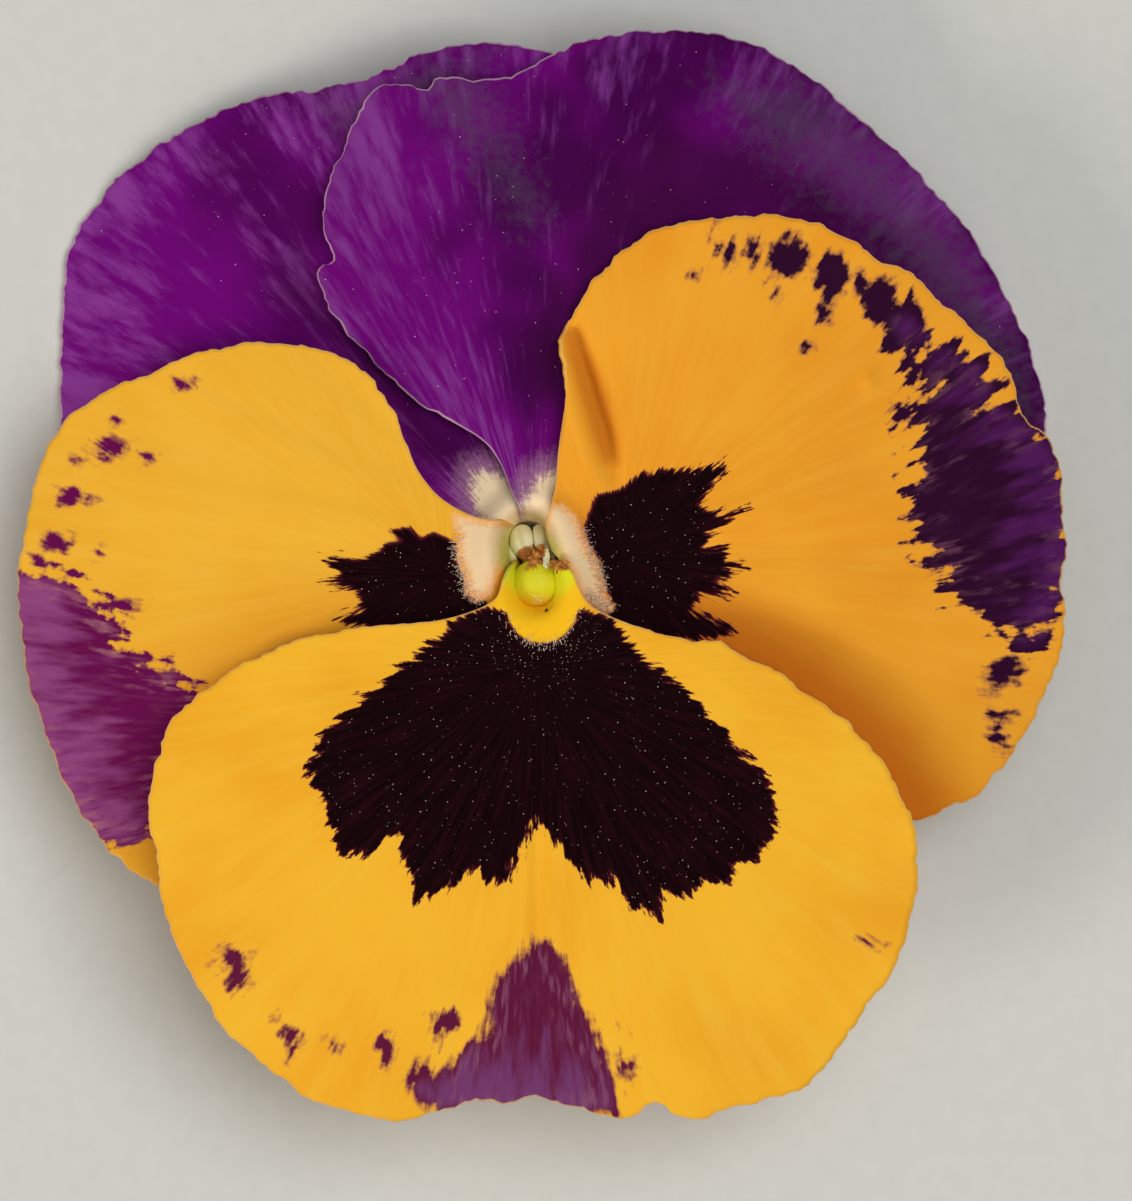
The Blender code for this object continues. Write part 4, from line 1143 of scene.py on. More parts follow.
# %% [markdown]
# The upper petals are purple throughout. Their velvet is deep at the throat and towards the eye, and the
# raised cell rows catch the light as lavender streaks, strongest near the rim and on the side that the
# light comes from. The rows are noise along the fan again: broad bands split by fine rows.

# %% Velvet of the purple petals
VELVET_ROW = 0.385  # single rows of cells would be too fine to show
VELVET_CLOUD = 8.33
BAND_WIDTH = 1.82
RIM_GLOW = (6.0, 0.3)  # distances from the rim over which it gets lighter


def velvet_rows(tree, face, fan, deep, middle, light, lit_side, level):
    """Gives the velvet's colour and its rows.

    lit_side is how far to the left of straight up the bright part starts and is full, in degrees.
    level is how strong a row has to be to show as a streak.
    """
    rows = add_node(tree, "TexNoise", {},
                    {"Vector": fan, "Scale": 1 / VELVET_ROW, "Detail": 4.0, "Roughness": 0.62})
    start, full = (FAN_ARC * (UPWARD + math.radians(degrees)) for degrees in lit_side)
    parts = add_node(tree, "SeparateXYZ", {}, {"Vector": fan})
    # Painted light: the side that the light comes from is a lighter purple, over clouds that differ at
    # random, and there its rows show as brighter streaks.
    lit = add_node(tree, "MapRange", SMOOTH, {"Value": parts.outputs["X"], **rise(start, full, 0.1)})
    clouds = add_node(tree, "TexNoise", {}, {"Vector": face, "Scale": 1 / VELVET_CLOUD})
    cloudy = add_node(tree, "Math", MULTIPLY_ADD, {0: lit, 1: 2.2, 2: clouds})
    cloud = add_node(tree, "MapRange", SMOOTH, {"Value": cloudy, **rise(0.4, 0.66)})
    purple = add_node(tree, "Mix", COLOUR, {"Factor": cloud, "A": deep, "B": middle})
    bands = add_node(tree, "TexNoise", {}, {"Vector": fan, "Scale": 1 / BAND_WIDTH, "Detail": 3.0})
    margin = add_node(tree, "Attribute", {"attribute_name": "margin"})
    rimward = add_node(tree, "MapRange", SMOOTH,
                       {"Value": margin.outputs["Fac"], **rise(*RIM_GLOW, 0.17)})
    broad = add_node(tree, "Math", {"operation": "ADD"}, {0: bands, 1: rimward})
    broader = add_node(tree, "Math", {"operation": "ADD"}, {0: broad, 1: lit})
    fine = add_node(tree, "Math", MULTIPLY_ADD, {0: rows, 1: 1.25, 2: broader})
    streak = add_node(tree, "MapRange", SMOOTH, {"Value": fine, **rise(level, level + 0.46, 0.9)})
    lavender = add_node(tree, "Mix", COLOUR, {"Factor": streak, "A": purple, "B": light})
    return lavender, rows


print("velvet rows", VELVET_ROW, "mm and bands", BAND_WIDTH, "mm wide")

# %% [markdown]
# Two more layers lie on the velvet. A cool grey-green sheen comes and goes in grains near the tops, where
# the velvet is seen aslant and its cones show their clear tips. At their claws both petals fade to cream
# through a dull mauve, as if stippled.

# %% Sheen and cream claws
SHEEN_GRAIN = 0.667
STIPPLE_SIZE = 0.3125


def cool_sheen(tree, under, face, rows, share, colour):
    """Clear cell tips that mirror the pale sky: a cool, grainy bloom on the velvet."""
    area = add_node(tree, "Attribute", {"attribute_name": "cool"})
    grain = add_node(tree, "TexNoise", {},
                     {"Vector": face, "Scale": 1 / SHEEN_GRAIN, "Detail": 5.0, "Roughness": 0.75})
    mottled = pushed(tree, area.outputs["Fac"], grain, 9.0)
    edge = pushed(tree, mottled, rows, 3.5)
    inside = add_node(tree, "MapRange", SMOOTH, {"Value": edge, **rise(-1.6, 2.6, share)})
    return add_node(tree, "Mix", COLOUR, {"Factor": inside, "A": under, "B": colour})


def cream_claw(tree, under, face, rows):
    """Cells without pigment: cream, with a stippled mauve edge where a few still have some."""
    claw = add_node(tree, "Attribute", {"attribute_name": "claw"})
    stipple = add_node(tree, "TexNoise", {},
                       {"Vector": face, "Scale": 1 / STIPPLE_SIZE, "Detail": 5.0, "Roughness": 0.7})
    stippled = pushed(tree, claw.outputs["Fac"], stipple, 1.6)
    frayed = pushed(tree, stippled, rows, 1.6)
    fading = add_node(tree, "MapRange", SMOOTH, {"Value": frayed, **rise(-1.5, 0.1, 0.75)})
    faded = add_node(tree, "Mix", COLOUR, {"Factor": fading, "A": under, "B": "#AA7898"})
    inside = add_node(tree, "MapRange", SMOOTH, {"Value": frayed, **rise(-0.25, 0.7)})
    return add_node(tree, "Mix", COLOUR, {"Factor": inside, "A": faded, "B": "#FFE6BC"})


print("sheen in grains of", SHEEN_GRAIN, "mm, stipple of", STIPPLE_SIZE, "mm")

# %% [markdown]
# The two purple petals differ: the right one is darker, with a grey-green sheen, and the left one is a
# warmer violet whose bright part lies further to the left. Both have painted shade under a neighbour.

# %% Velvets of the two upper petals
def purple_petal(name, deep, middle, light, cool, lit_side, level):
    """Petal velvet: upright purple cells, matt, with lavender rows that catch the light."""
    made, tree, shader = blank_material(name)
    face = face_place(tree)
    fan = fan_place(tree, face, UPWARD)
    colour, rows = velvet_rows(tree, face, fan, deep, middle, light, lit_side, level)
    # Painted shade where the petal goes under a neighbour.
    colour = painted_shade_layer(tree, colour, "shade_under_neighbour", (-1.6, 1.4), 0.75, "#34062E")
    colour = cool_sheen(tree, colour, face, rows, 0.5, cool)
    colour = cream_claw(tree, colour, face, rows)
    colour = painted_rim_highlight(tree, colour, face, 0.7, "#E0B4C6")
    petal_skin(tree, shader, colour, face, rows, 0.12)
    return made


right_velvet = purple_petal("velvet_of_right_upper_petal", "#46034A", "#6E0674", "#843A90", "#4E4456",
                            lit_side=(2.0, 14.0), level=1.22)
left_velvet = purple_petal("velvet_of_left_upper_petal", "#520456", "#700678", "#903E9C", "#6A4A72",
                           lit_side=(32.0, 62.0), level=1.16)
print("nodes of the right velvet:", len(right_velvet.node_tree.nodes))

# %% [markdown]
# The back of a petal has no raised cones, so it is smoother and paler than its face, with the veins showing
# through. The rim is a torn-looking edge one or two cells thin, painted pale as a highlight in the colour of
# the light that comes through it. Down in the throat it turns green.

# %% Backs and rims of the petals
BACK_VEIN = 0.714  # spacing of the veins, 14 mm out
RIM_CELLS = 0.2  # bundles of cells; single ones wouldn't show


def petal_back(name, ground, vein, facing=0.0):
    """Smooth lower skin: paler than the face and a little glossy, with raised veins."""
    made, tree, shader = blank_material(name)
    fan = fan_place(tree, face_place(tree), facing)
    veins = add_node(tree, "TexNoise", {}, {"Vector": fan, "Scale": 1 / BACK_VEIN, "Detail": 5.0})
    veined = add_node(tree, "MapRange", {}, {"Value": veins, **rise(0.42, 0.6)})
    tone = add_node(tree, "Mix", COLOUR, {"Factor": veined, "A": ground, "B": vein})
    ridges = add_node(tree, "Bump", {}, {"Height": veins, "Strength": 0.5, "Distance": 0.1 * MM})
    lay_on(tree, shader, tone, {"Roughness": 0.5, "Specular IOR Level": 0.35}, ridges)
    return made


def petal_rim(name, ground, light, throat):
    """Thin edge of a petal: a painted highlight in the colour of the light that comes through it."""
    made, tree, shader = blank_material(name)
    cells = add_node(tree, "TexNoise", {}, {"Vector": face_place(tree), "Scale": 1 / RIM_CELLS})
    tone = add_node(tree, "Mix", COLOUR, {"Factor": cells, "A": ground, "B": light})
    tone = throat_oval(tree, tone, (-0.2, 0.5), (2.4, 2.3), (1.15, 0.8), 1.0, throat)
    lay_on(tree, shader, tone, {"Roughness": 0.6, "Specular IOR Level": 0.1})
    return made


yellow_back = petal_back("pale_back_of_yellow_petal", "#EDBB5A", "#D8982E")
purple_back = petal_back("pale_back_of_purple_petal", "#8A62A6", "#5E3480", UPWARD)
yellow_rim = petal_rim("cut_of_yellow_petal", "#F4A838", "#F8BE60", "#D2D84C")
purple_rim = petal_rim("cut_of_purple_petal", "#D8A8BE", "#F0D0DC", "#E8E6B4")
print("materials so far:", len(bpy.data.materials))

# %% [markdown]
# With the finishes ready, the five petals are made, from the front one to the one at the back. Each has
# three materials: the skin of its face, its back and its rim.

# %% Make the five petals
petal("petal_lower", "lower_petal", (lower_skin, yellow_back, yellow_rim))
petal("petal_side_left", "left_side_petal", (left_skin, yellow_back, yellow_rim))
petal("petal_side_right", "right_side_petal", (right_skin, yellow_back, yellow_rim))
petal("petal_upper_right", "right_upper_petal", (right_velvet, purple_back, purple_rim))
petal("petal_upper_left", "left_upper_petal", (left_velvet, purple_back, purple_rim))

# %% [markdown]
# Behind the lower petal its claw runs back into a blunt sac, the nectar spur, which peeps out between the
# sepals. It is a sphere whose upper half is drawn up towards the throat, which needs no seam between sac
# and neck.

# %% Nectar spur
SPUR_TOP = Vector((-0.45, -0.9, 6.2))
SPUR_END = Vector((-0.45, -2.0, 4.3))
SPUR_RADIUS = 1.15
SPUR_TOP_ROUNDING = 0.3  # its top end is flatter than a sphere
SPUR_NARROWING = 0.92  # and it is a little narrower than thick


def nectar_spur():
    """Thin-walled sac in the same skin as a petal's back, yellowish green with brown veins."""
    shape = bmesh.new()
    bmesh.ops.create_uvsphere(shape, u_segments=40, v_segments=24, radius=SPUR_RADIUS)
    axis = SPUR_TOP - SPUR_END
    turn = Vector((0.0, 0.0, 1.0)).rotation_difference(axis)
    for vert in shape.verts:
        if vert.co.z > 0:
            vert.co.z = SPUR_TOP_ROUNDING * vert.co.z + axis.length
        else:
            vert.co.x *= SPUR_NARROWING
        vert.co = SPUR_END + turn @ vert.co
    finish_mesh("nectar_spur", shape, (petal_back("thin_skin_of_spur", "#C9B468", "#9C7C58"),),
                ("petal_lower",))


nectar_spur()
print("spur", round((SPUR_TOP - SPUR_END).length + SPUR_RADIUS * (1 + SPUR_TOP_ROUNDING), 1), "mm long")

# %% [markdown]
# Five sepals hold the bloom from behind. Each is a narrow green leaf with a thin pale margin, and behind
# its base it carries a rounded ear, the auricle. The path of a sepal climbs the ear, turns round the claw
# and runs out under the petals, so one grid laid along that path makes both. The numbers are those of the
# CAD source.

# %% Path of a sepal
SEPALS = ((90.0, 6.5), (22.0, 6.5), (-40.0, 4.9), (-140.0, 4.9), (158.0, 6.5))
SEPAL_LENGTH = 13.0
SEPAL_HALF_WIDTH = 1.75
SEPAL_BEHIND = 4.5
AURICLE_SHARE = 0.22
AURICLE_DROP = 2.6
SEPAL_FOLD = 0.35
SEPAL_BASE_SHARE = 0.085  # share of the pointed width curve that the base leaves out
SEPAL_ROUNDING = 0.8  # fullness of that curve: 1 is a sine, less is rounder
SEPAL_RISE = (0.06, 0.42)  # share of the blade over which it comes up behind the petals
AURICLE_RADIUS = 2.2  # of its free end, from the middle of the claws
AURICLE_WAIST = 0.75  # it draws in by this towards the claws
TURN_FLARE = 0.6  # and flares out again at the turn
TURN_START = 0.6  # share of the auricle where the flare begins
MIDRIB = (0.12, 0.14)  # depth, and half width as a share of the blade's


def sepal_point(direction, turn_height, along, across):
    """Path of a sepal: up the auricle, round the claw and out under the petals."""
    blade_share = max(along - AURICLE_SHARE, 0.0) / (1.0 - AURICLE_SHARE)
    width_share = min(SEPAL_BASE_SHARE + (1.0 - SEPAL_BASE_SHARE) * blade_share, 0.995)
    half_width = SEPAL_HALF_WIDTH * math.sin(math.pi * width_share) ** SEPAL_ROUNDING
    share = along / AURICLE_SHARE
    if share < 1.0:
        flare = TURN_FLARE * smooth_step(TURN_START, 1.0, share)
        radius = AURICLE_RADIUS - AURICLE_WAIST * math.sin(share * math.pi / 2) + flare
        height = turn_height - AURICLE_DROP * (1.0 - share ** 0.9)
    else:
        radius = AURICLE_RADIUS - AURICLE_WAIST + TURN_FLARE + SEPAL_LENGTH * blade_share
    side = Vector((-direction.y, direction.x))
    point = CLAWS + direction * radius + side * across * half_width
    if along >= AURICLE_SHARE:
        blade = face_height(point) - SEPAL_BEHIND - bend_back(point, PETALS["petal_upper_right"]["bend"])
        height = turn_height + (blade - turn_height) * smooth_step(*SEPAL_RISE, blade_share)
    rib = MIDRIB[0] * soft_ridge(across, MIDRIB[1])
    return Vector((point.x, point.y, height + SEPAL_FOLD * abs(across) * along - rib * along))


print("a sepal reaches", AURICLE_RADIUS - AURICLE_WAIST + TURN_FLARE + SEPAL_LENGTH, "mm out from the claws")

# %% [markdown]
# The leaf tissue of a sepal is green and satin, with darker veins along it. The veins follow the leaf, so
# the mesh keeps how far across and along each vertex is, and noise is read there, drawn out along the leaf.

# %% Sepals
SEPAL_VEIN = 0.292  # spacing of the veins
SEPAL_PATH = 14.0  # length that the veins run
VEIN_SQUEEZE = 0.15  # they are so many times narrower than long
SEPAL_THICKNESS = 0.4


def sepal_leaf():
    """Young leaf tissue: satin green, darker veins along it and a thin pale margin."""
    made, tree, shader = blank_material("satin_sepal_leaf")
    across = add_node(tree, "Attribute", {"attribute_name": "across"})
    along = add_node(tree, "Attribute", {"attribute_name": "along"})
    lines = add_node(tree, "CombineXYZ", {}, {"X": across.outputs["Fac"], "Y": along.outputs["Fac"]})
    veins = add_node(tree, "TexNoise", {},
                     {"Vector": lines, "Scale": SEPAL_HALF_WIDTH / SEPAL_VEIN, "Detail": 3.0})
    veined = add_node(tree, "MapRange", {}, {"Value": veins, **rise(0.4, 0.62)})
    green = add_node(tree, "Mix", COLOUR, {"Factor": veined, "A": "#5C8A34", "B": "#3E6A24"})
    side = add_node(tree, "Math", {"operation": "ABSOLUTE"}, {0: across.outputs["Fac"]})
    edge = add_node(tree, "MapRange", SMOOTH, {"Value": side, **rise(0.82, 1.0, 0.7)})
    edged = add_node(tree, "Mix", COLOUR, {"Factor": edge, "A": green, "B": "#A9BE7C"})
    ridges = add_node(tree, "Bump", {}, {"Height": veins, "Strength": 0.5, "Distance": 0.1 * MM})
    lay_on(tree, shader, edged, {"Roughness": 0.48}, ridges)
    return made


def sepal(number, angle, turn_height, finish):
    """One sepal, from a grid whose Y runs along its path."""
    direction = Vector((math.cos(math.radians(angle)), math.sin(math.radians(angle))))
    shape = bmesh.new()
    bmesh.ops.create_grid(shape, x_segments=20, y_segments=90, size=1.0)
    across = [-vert.co.x for vert in shape.verts]
    along = [0.5 + 0.5 * vert.co.y for vert in shape.verts]
    for vert, x, y in zip(shape.verts, across, along):
        vert.co = sepal_point(direction, turn_height, y, x)
    face_up(shape)
    piece = finish_mesh(f"sepal_leaf_{number}", shape, (finish,), (f"sepal_{number}",))
    keep_numbers(piece, "across", across)
    keep_numbers(piece, "along", [SEPAL_PATH * VEIN_SQUEEZE * share for share in along])
    blade = piece.modifiers.new("Blade", "SOLIDIFY")
    blade.thickness = SEPAL_THICKNESS * MM
    blade.offset = -1.0


leaf = sepal_leaf()
for number, (angle, turn_height) in enumerate(SEPALS):
    sepal(number + 1, angle, turn_height, leaf)
print("sepals:", len(SEPALS))

# %% [markdown]
# Five stamens stand round the pistil. Each is a broad pale anther on a very short filament, and ends in a
# papery orange-brown tip. Together they close into a cone over the ovary, and the globe of the stigma looks
# out between the tips. From the front only the two upper anthers and three tips show.
#
# A sphere bent round the pistil's axis makes the anther: its length runs along the axis, a groove between
# its two halves is pressed in, and its upper end is drawn out and frayed for the tip.

# %% Form of the stamens
AXIS_BASE = Vector((-0.74, 1.95, 7.9))
AXIS_TIP = Vector((-0.3, -0.52, 11.0))
STAMEN_COUNT = 5
STAMEN_LENGTH = 2.75
STAMEN_HALF_WIDTH = 0.74  # a little wider than the solids, so that the five close up
STAMEN_THICKNESS = 0.45
STAMEN_RING = 1.2
STAMEN_TIP_RING = 0.76
STAMEN_TAPER = (0.55, 0.45)  # share of the length where it narrows, and share of the width lost
STAMEN_CLOSING = 0.35  # share of the length where the anthers bend in
STAMEN_FOOT = 0.12  # an anther starts this far up the axis
STAMEN_GROOVE = (0.1, 0.22)  # depth and half width
TIP_START = 0.7  # share of the anther's length where the papery tip starts
TIP_FRAYS = (0.07, 0.12)  # how far the tip is torn outwards and along


def axis_frame():
    """Directions along the pistil, up and back from it, and across it."""
    along = (AXIS_TIP - AXIS_BASE).normalized()
    across = Vector((0.0, 1.0, 0.0)).cross(along).normalized()
    return along, along.cross(across), across


print("pistil's axis leans", round(math.degrees(Vector((0, 0, 1)).angle(axis_frame()[0]))), "degrees")

# %% [markdown]
# A pollen sac is waxy: pale cream with a greenish cast, in grains about 0.3 mm across. The mesh keeps how
# far along the anther each vertex is, and noise frays the line where the cream turns to papery brown.

# %% Waxy finish of the anthers
ANTHER_GRAIN = 0.286


def anther_finish():
    """Waxy pollen sac: pale cream with a greenish cast, matt, and a papery orange-brown tip."""
    made, tree, shader = blank_material("waxy_anther")
    tip = add_node(tree, "Attribute", {"attribute_name": "tip"})
    place = add_node(tree, "TexCoord")
    grain = add_node(tree, "TexNoise", {},
                     {"Vector": place.outputs["Object"], "Scale": 1 / MM / ANTHER_GRAIN, "Detail": 3.0})
    body = add_node(tree, "Mix", COLOUR, {"Factor": grain, "A": "#F4F0B4", "B": "#FFFBD6"})
    frayed = add_node(tree, "Math", MULTIPLY_ADD, {0: grain, 1: 0.12, 2: tip.outputs["Fac"]})
    brown = add_node(tree, "MapRange", SMOOTH, {"Value": frayed, **rise(TIP_START + 0.02, TIP_START + 0.1)})
    papery = add_node(tree, "Mix", COLOUR, {"Factor": grain, "A": "#94501A", "B": "#D98A3A"})
    tone = add_node(tree, "Mix", COLOUR, {"Factor": brown, "A": body, "B": papery})
    rough = add_node(tree, "Bump", {}, {"Height": grain, "Strength": 0.5, "Distance": 0.04 * MM})
    lay_on(tree, shader, tone, {"Roughness": 0.5}, rough)
    return made


waxy = anther_finish()
print("anther finish:", len(waxy.node_tree.nodes), "nodes")


# %% Anthers
def anther(number, finish):
    """One anther, numbered round the pistil."""
    along, back, across = axis_frame()
    middle = math.tau * (number + 0.5) / STAMEN_COUNT
    shape = bmesh.new()
    bmesh.ops.create_uvsphere(shape, u_segments=56, v_segments=40, radius=1.0)
    shares = []
    for vert in shape.verts:
        x, y, z = vert.co
        fullness = math.sqrt(1.0 + z * z)
        x, y = x * fullness, y * fullness
        share = 0.5 + 0.5 * z
        shares.append(share)
        width = STAMEN_HALF_WIDTH * (1.0 - STAMEN_TAPER[1] * smooth_step(STAMEN_TAPER[0], 1.0, share))
        ring = STAMEN_RING + (STAMEN_TIP_RING - STAMEN_RING) * smooth_step(STAMEN_CLOSING, 1.0, share)
        groove_depth = STAMEN_GROOVE[0] * soft_ridge(x, STAMEN_GROOVE[1]) if y > 0 else 0.0
        radius = ring + 0.5 * STAMEN_THICKNESS * y - groove_depth * (1.0 - z * z)
        fray = smooth_step(TIP_START, 1.0, share)
        radius += TIP_FRAYS[0] * fray * noise.noise(Vector((x * 5.0, y * 5.0, number * 3.0)))
        angle = middle + width * x / STAMEN_RING
        direction = back * math.cos(angle) + across * math.sin(angle)
        tear = TIP_FRAYS[1] * fray * noise.noise(Vector((x * 6.0, y * 6.0, number + 7.0)))
        reach = STAMEN_FOOT + STAMEN_LENGTH * share + tear
        vert.co = AXIS_BASE + along * reach + direction * radius
    piece = finish_mesh(f"anther_{number + 1}", shape, (finish,), (f"stamen_{number + 1}",))
    keep_numbers(piece, "tip", shares)


for number in range(STAMEN_COUNT):
    anther(number, waxy)
print("stamens:", STAMEN_COUNT)

# %% [markdown]
# The papery tips of the two upper stamens are torn scales that lean on the stigma, and a pale lobe lies
# between them. Dead tissue has dried to orange-brown there and crumpled. Each is a flattened sphere whose
# rim noise tears, so it stays closed and has no thin edges.

# %% Torn tips
PAPER_FIBRE = 0.25


def torn_scale(name, place, wide, high, slope, tear, finish):
    """A small scale. Its place and half sizes are in mm, and it sinks by the slope towards the top."""
    shape = bmesh.new()
    bmesh.ops.create_icosphere(shape, subdivisions=5, radius=1.0)
    for vert in shape.verts:
        x, y, z = vert.co
        turn = Vector((x, y)).normalized() if x or y else Vector((1.0, 0.0))
        torn = 1.0 + tear * noise.noise(Vector((turn.x * 2.6, turn.y * 2.6, place[0] * 9.0)))
        torn += 0.5 * tear * noise.noise(Vector((turn.x * 6.0, turn.y * 6.0, place[0] * 5.0)))
        crumple = 0.3 * tear * noise.noise(Vector((x * 2.5, y * 2.5, place[1] * 7.0)))
        rise = z * 0.16 + crumple - slope * y * high * torn
        vert.co = Vector(place) + Vector((x * wide * torn, y * high * torn, rise))
    finish_mesh(name, shape, (finish,), ())


def papery_finish():
    """Dry tissue at an anther's tip: orange-brown and crumpled."""
    made, tree, shader = blank_material("papery_anther_tip")
    place = add_node(tree, "TexCoord")
    fibres = add_node(tree, "TexNoise", {},
                      {"Vector": place.outputs["Object"], "Scale": 1 / MM / PAPER_FIBRE, "Detail": 3.0})
    spread = add_node(tree, "MapRange", {}, {"Value": fibres, **rise(0.35, 0.65)})
    tone = add_node(tree, "Mix", COLOUR, {"Factor": spread, "A": "#A85C1C", "B": "#E29C42"})
    rough = add_node(tree, "Bump", {}, {"Height": fibres, "Strength": 0.7, "Distance": 0.08 * MM})
    lay_on(tree, shader, tone, {"Roughness": 0.6}, rough)
    return made


papery = papery_finish()
torn_scale("anther_tip_left", (-0.46, 0.86, 11.55), 0.46, 0.56, 1.1, 0.8, papery)
torn_scale("anther_tip_middle", (-0.02, 1.3, 11.1), 0.22, 0.3, 0.9, 0.9, papery)
torn_scale("anther_tip_right", (0.9, 0.5, 12.85), 0.42, 0.36, 0.3, 0.8, papery)
torn_scale("anther_tip_far_right", (1.28, 0.36, 12.9), 0.16, 0.14, 0.0, 0.8, papery)
torn_scale("anther_lobe", (0.24, 0.85, 11.6), 0.19, 0.58, 1.1, 0.2, waxy)
print("torn tips and lobe:", 5)

# %% [markdown]
# The pistil has a small ovary, a thin style and a globe-shaped stigma, moist and lime-yellow, that sits at
# the mouth of the throat. The wet tissue lets some light in and has a soft shine, is greener away from its
# top and golden in front, where pollen has stained it.

# %% Moist finish of the stigma
STIGMA_RADIUS = 1.25
STIGMA_GRAIN = 0.4


def stigma_finish():
    """Moist stigma tissue: lime-yellow, slightly glossy, greener away from its top."""
    made, tree, shader = blank_material("moist_stigma")
    place = add_node(tree, "TexCoord")
    parts = add_node(tree, "SeparateXYZ", {}, {"Vector": place.outputs["Object"]})
    lime = add_node(tree, "MapRange", SMOOTH, {"Value": parts.outputs["Z"], **rise(10.2 * MM, 11.6 * MM)})
    tone = add_node(tree, "Mix", COLOUR, {"Factor": lime, "A": "#C0C42C", "B": "#E4DC20"})
    front = add_node(tree, "MapRange", SMOOTH,
                     {"Value": parts.outputs["Y"], **rise(-0.8 * MM, -1.7 * MM, 0.8)})
    golden = add_node(tree, "Mix", COLOUR, {"Factor": front, "A": tone, "B": "#EFC422"})
    grain = add_node(tree, "TexNoise", {},
                     {"Vector": place.outputs["Object"], "Scale": 1 / MM / STIGMA_GRAIN, "Detail": 3.0})
    speckled = add_node(tree, "Mix", {"data_type": "RGBA", "blend_type": "MULTIPLY"},
                        {"Factor": 0.12, "A": golden, "B": grain.outputs["Color"]})
    bumps = add_node(tree, "Bump", {}, {"Height": grain, "Strength": 0.35, "Distance": 0.05 * MM})
    lay_on(tree, shader, speckled,
           {"Roughness": 0.55, "Specular IOR Level": 0.25,
            "Subsurface Weight": 0.3, "Subsurface Radius": (0.8, 0.7, 0.2),
            "Subsurface Scale": 0.4 * MM}, bumps)
    return made


moist = stigma_finish()
print("stigma finish:", len(moist.node_tree.nodes), "nodes")

# %% [markdown]
# The pistil is round all the way, so it is turned from one profile, as the solid is, only finer: the globe
# from its top to where the style starts, the style, and the ovary.

# %% Pistil
STIGMA_FULLNESS = 1.1  # it presses against the throat and is a little wider than high
STIGMA_ARC = 160.0  # degrees of the globe above the style
STYLE_TOP = 0.95  # the style starts this share of the globe's radius below its middle
STYLE_RADIUS = 0.34
OVARY_RADIUS = 0.62
OVARY_LENGTH = 1.9
OVARY_START = 30.0  # degrees of the ovary's round that the style covers


def pistil():
    """The pistil in one piece, turned about its leaning axis."""
    axis = AXIS_TIP - AXIS_BASE
    length = axis.length
    profile = [(0.0, length + STIGMA_RADIUS)]
    for step in range(1, 24):
        turn = math.radians(STIGMA_ARC * step / 23)
        radius = STIGMA_FULLNESS * STIGMA_RADIUS * math.sin(turn)
        profile.append((radius, length + STIGMA_RADIUS * math.cos(turn)))
    for step in range(1, 6):
        down = (length - STIGMA_RADIUS - OVARY_LENGTH) * step / 6
        profile.append((STYLE_RADIUS, length - STIGMA_RADIUS * STYLE_TOP - down))
    for step in range(1, 16):
        turn = math.radians(OVARY_START + (180.0 - OVARY_START) * (step - 1) / 15)
        profile.append((OVARY_RADIUS * math.sin(turn), OVARY_LENGTH / 2 * (1 + math.cos(turn))))
    profile.append((0.0, 0.0))
    shape = bmesh.new()
    line = [shape.verts.new((radius, 0.0, height)) for radius, height in profile]
    edges = [shape.edges.new(pair) for pair in zip(line, line[1:])]
    bmesh.ops.spin(shape, geom=line + edges, cent=(0.0, 0.0, 0.0), axis=(0.0, 0.0, 1.0),
                   angle=math.tau, steps=64, use_merge=True)
    bmesh.ops.remove_doubles(shape, verts=shape.verts, dist=1e-4)
    bmesh.ops.recalc_face_normals(shape, faces=shape.faces)
    turn = Vector((0.0, 0.0, 1.0)).rotation_difference(axis)
    place = Matrix.Translation(AXIS_BASE) @ turn.to_matrix().to_4x4()
    bmesh.ops.transform(shape, matrix=place, verts=shape.verts)
    finish_mesh("stigma_and_style", shape, (moist,), ("pistil",))
    print("pistil:", round(length, 2), "mm long")


pistil()

# %% [markdown]
# The stalk. Its skin is fresh and satin, green with paler streaks along it, and pale where it swells into
# the receptacle. The cut end shows wet pith, in cells drawn 0.17 mm wide because real ones wouldn't show.

# %% Finishes of the stalk
STALK_STREAK = (0.67, 4.0)  # width and length
PITH_CELL = 0.167


def stalk_finish():
    """Fresh stalk: satin green, paler along its ridges, with a purplish flush."""
    made, tree, shader = blank_material("satin_stalk")
    place = add_node(tree, "TexCoord")
    wide, long = (1 / MM / size for size in STALK_STREAK)
    marks = add_node(tree, "Mapping", {}, {"Vector": place.outputs["Object"], "Scale": (wide, long, wide)})
    streaks = add_node(tree, "TexNoise", {}, {"Vector": marks, "Scale": 1.0, "Detail": 4.0})
    streaked = add_node(tree, "MapRange", {}, {"Value": streaks, **rise(0.35, 0.65)})
    green = add_node(tree, "Mix", COLOUR, {"Factor": streaked, "A": "#5F8F3A", "B": "#86AC55"})
    parts = add_node(tree, "SeparateXYZ", {}, {"Vector": place.outputs["Object"]})
    joint = add_node(tree, "MapRange", SMOOTH, {"Value": parts.outputs["Z"], **rise(5.5 * MM, 6.6 * MM)})
    pale = add_node(tree, "Mix", COLOUR, {"Factor": joint, "A": green, "B": "#E8E6BE"})
    ridges = add_node(tree, "Bump", {}, {"Height": streaks, "Strength": 0.4, "Distance": 0.1 * MM})
    lay_on(tree, shader, pale, {"Roughness": 0.42}, ridges)
    return made


def pith_finish():
    """The cut end of the stalk: wet pith, pale green towards its middle."""
    made, tree, shader = blank_material("wet_pith")
    place = add_node(tree, "TexCoord")
    pores = add_node(tree, "TexVoronoi", {},
                     {"Vector": place.outputs["Object"], "Scale": 1 / MM / PITH_CELL})
    tone = add_node(tree, "Mix", COLOUR, {"Factor": pores, "A": "#C9D6A0", "B": "#8FAE5E"})
    lay_on(tree, shader, tone, {"Roughness": 0.3})
    return made


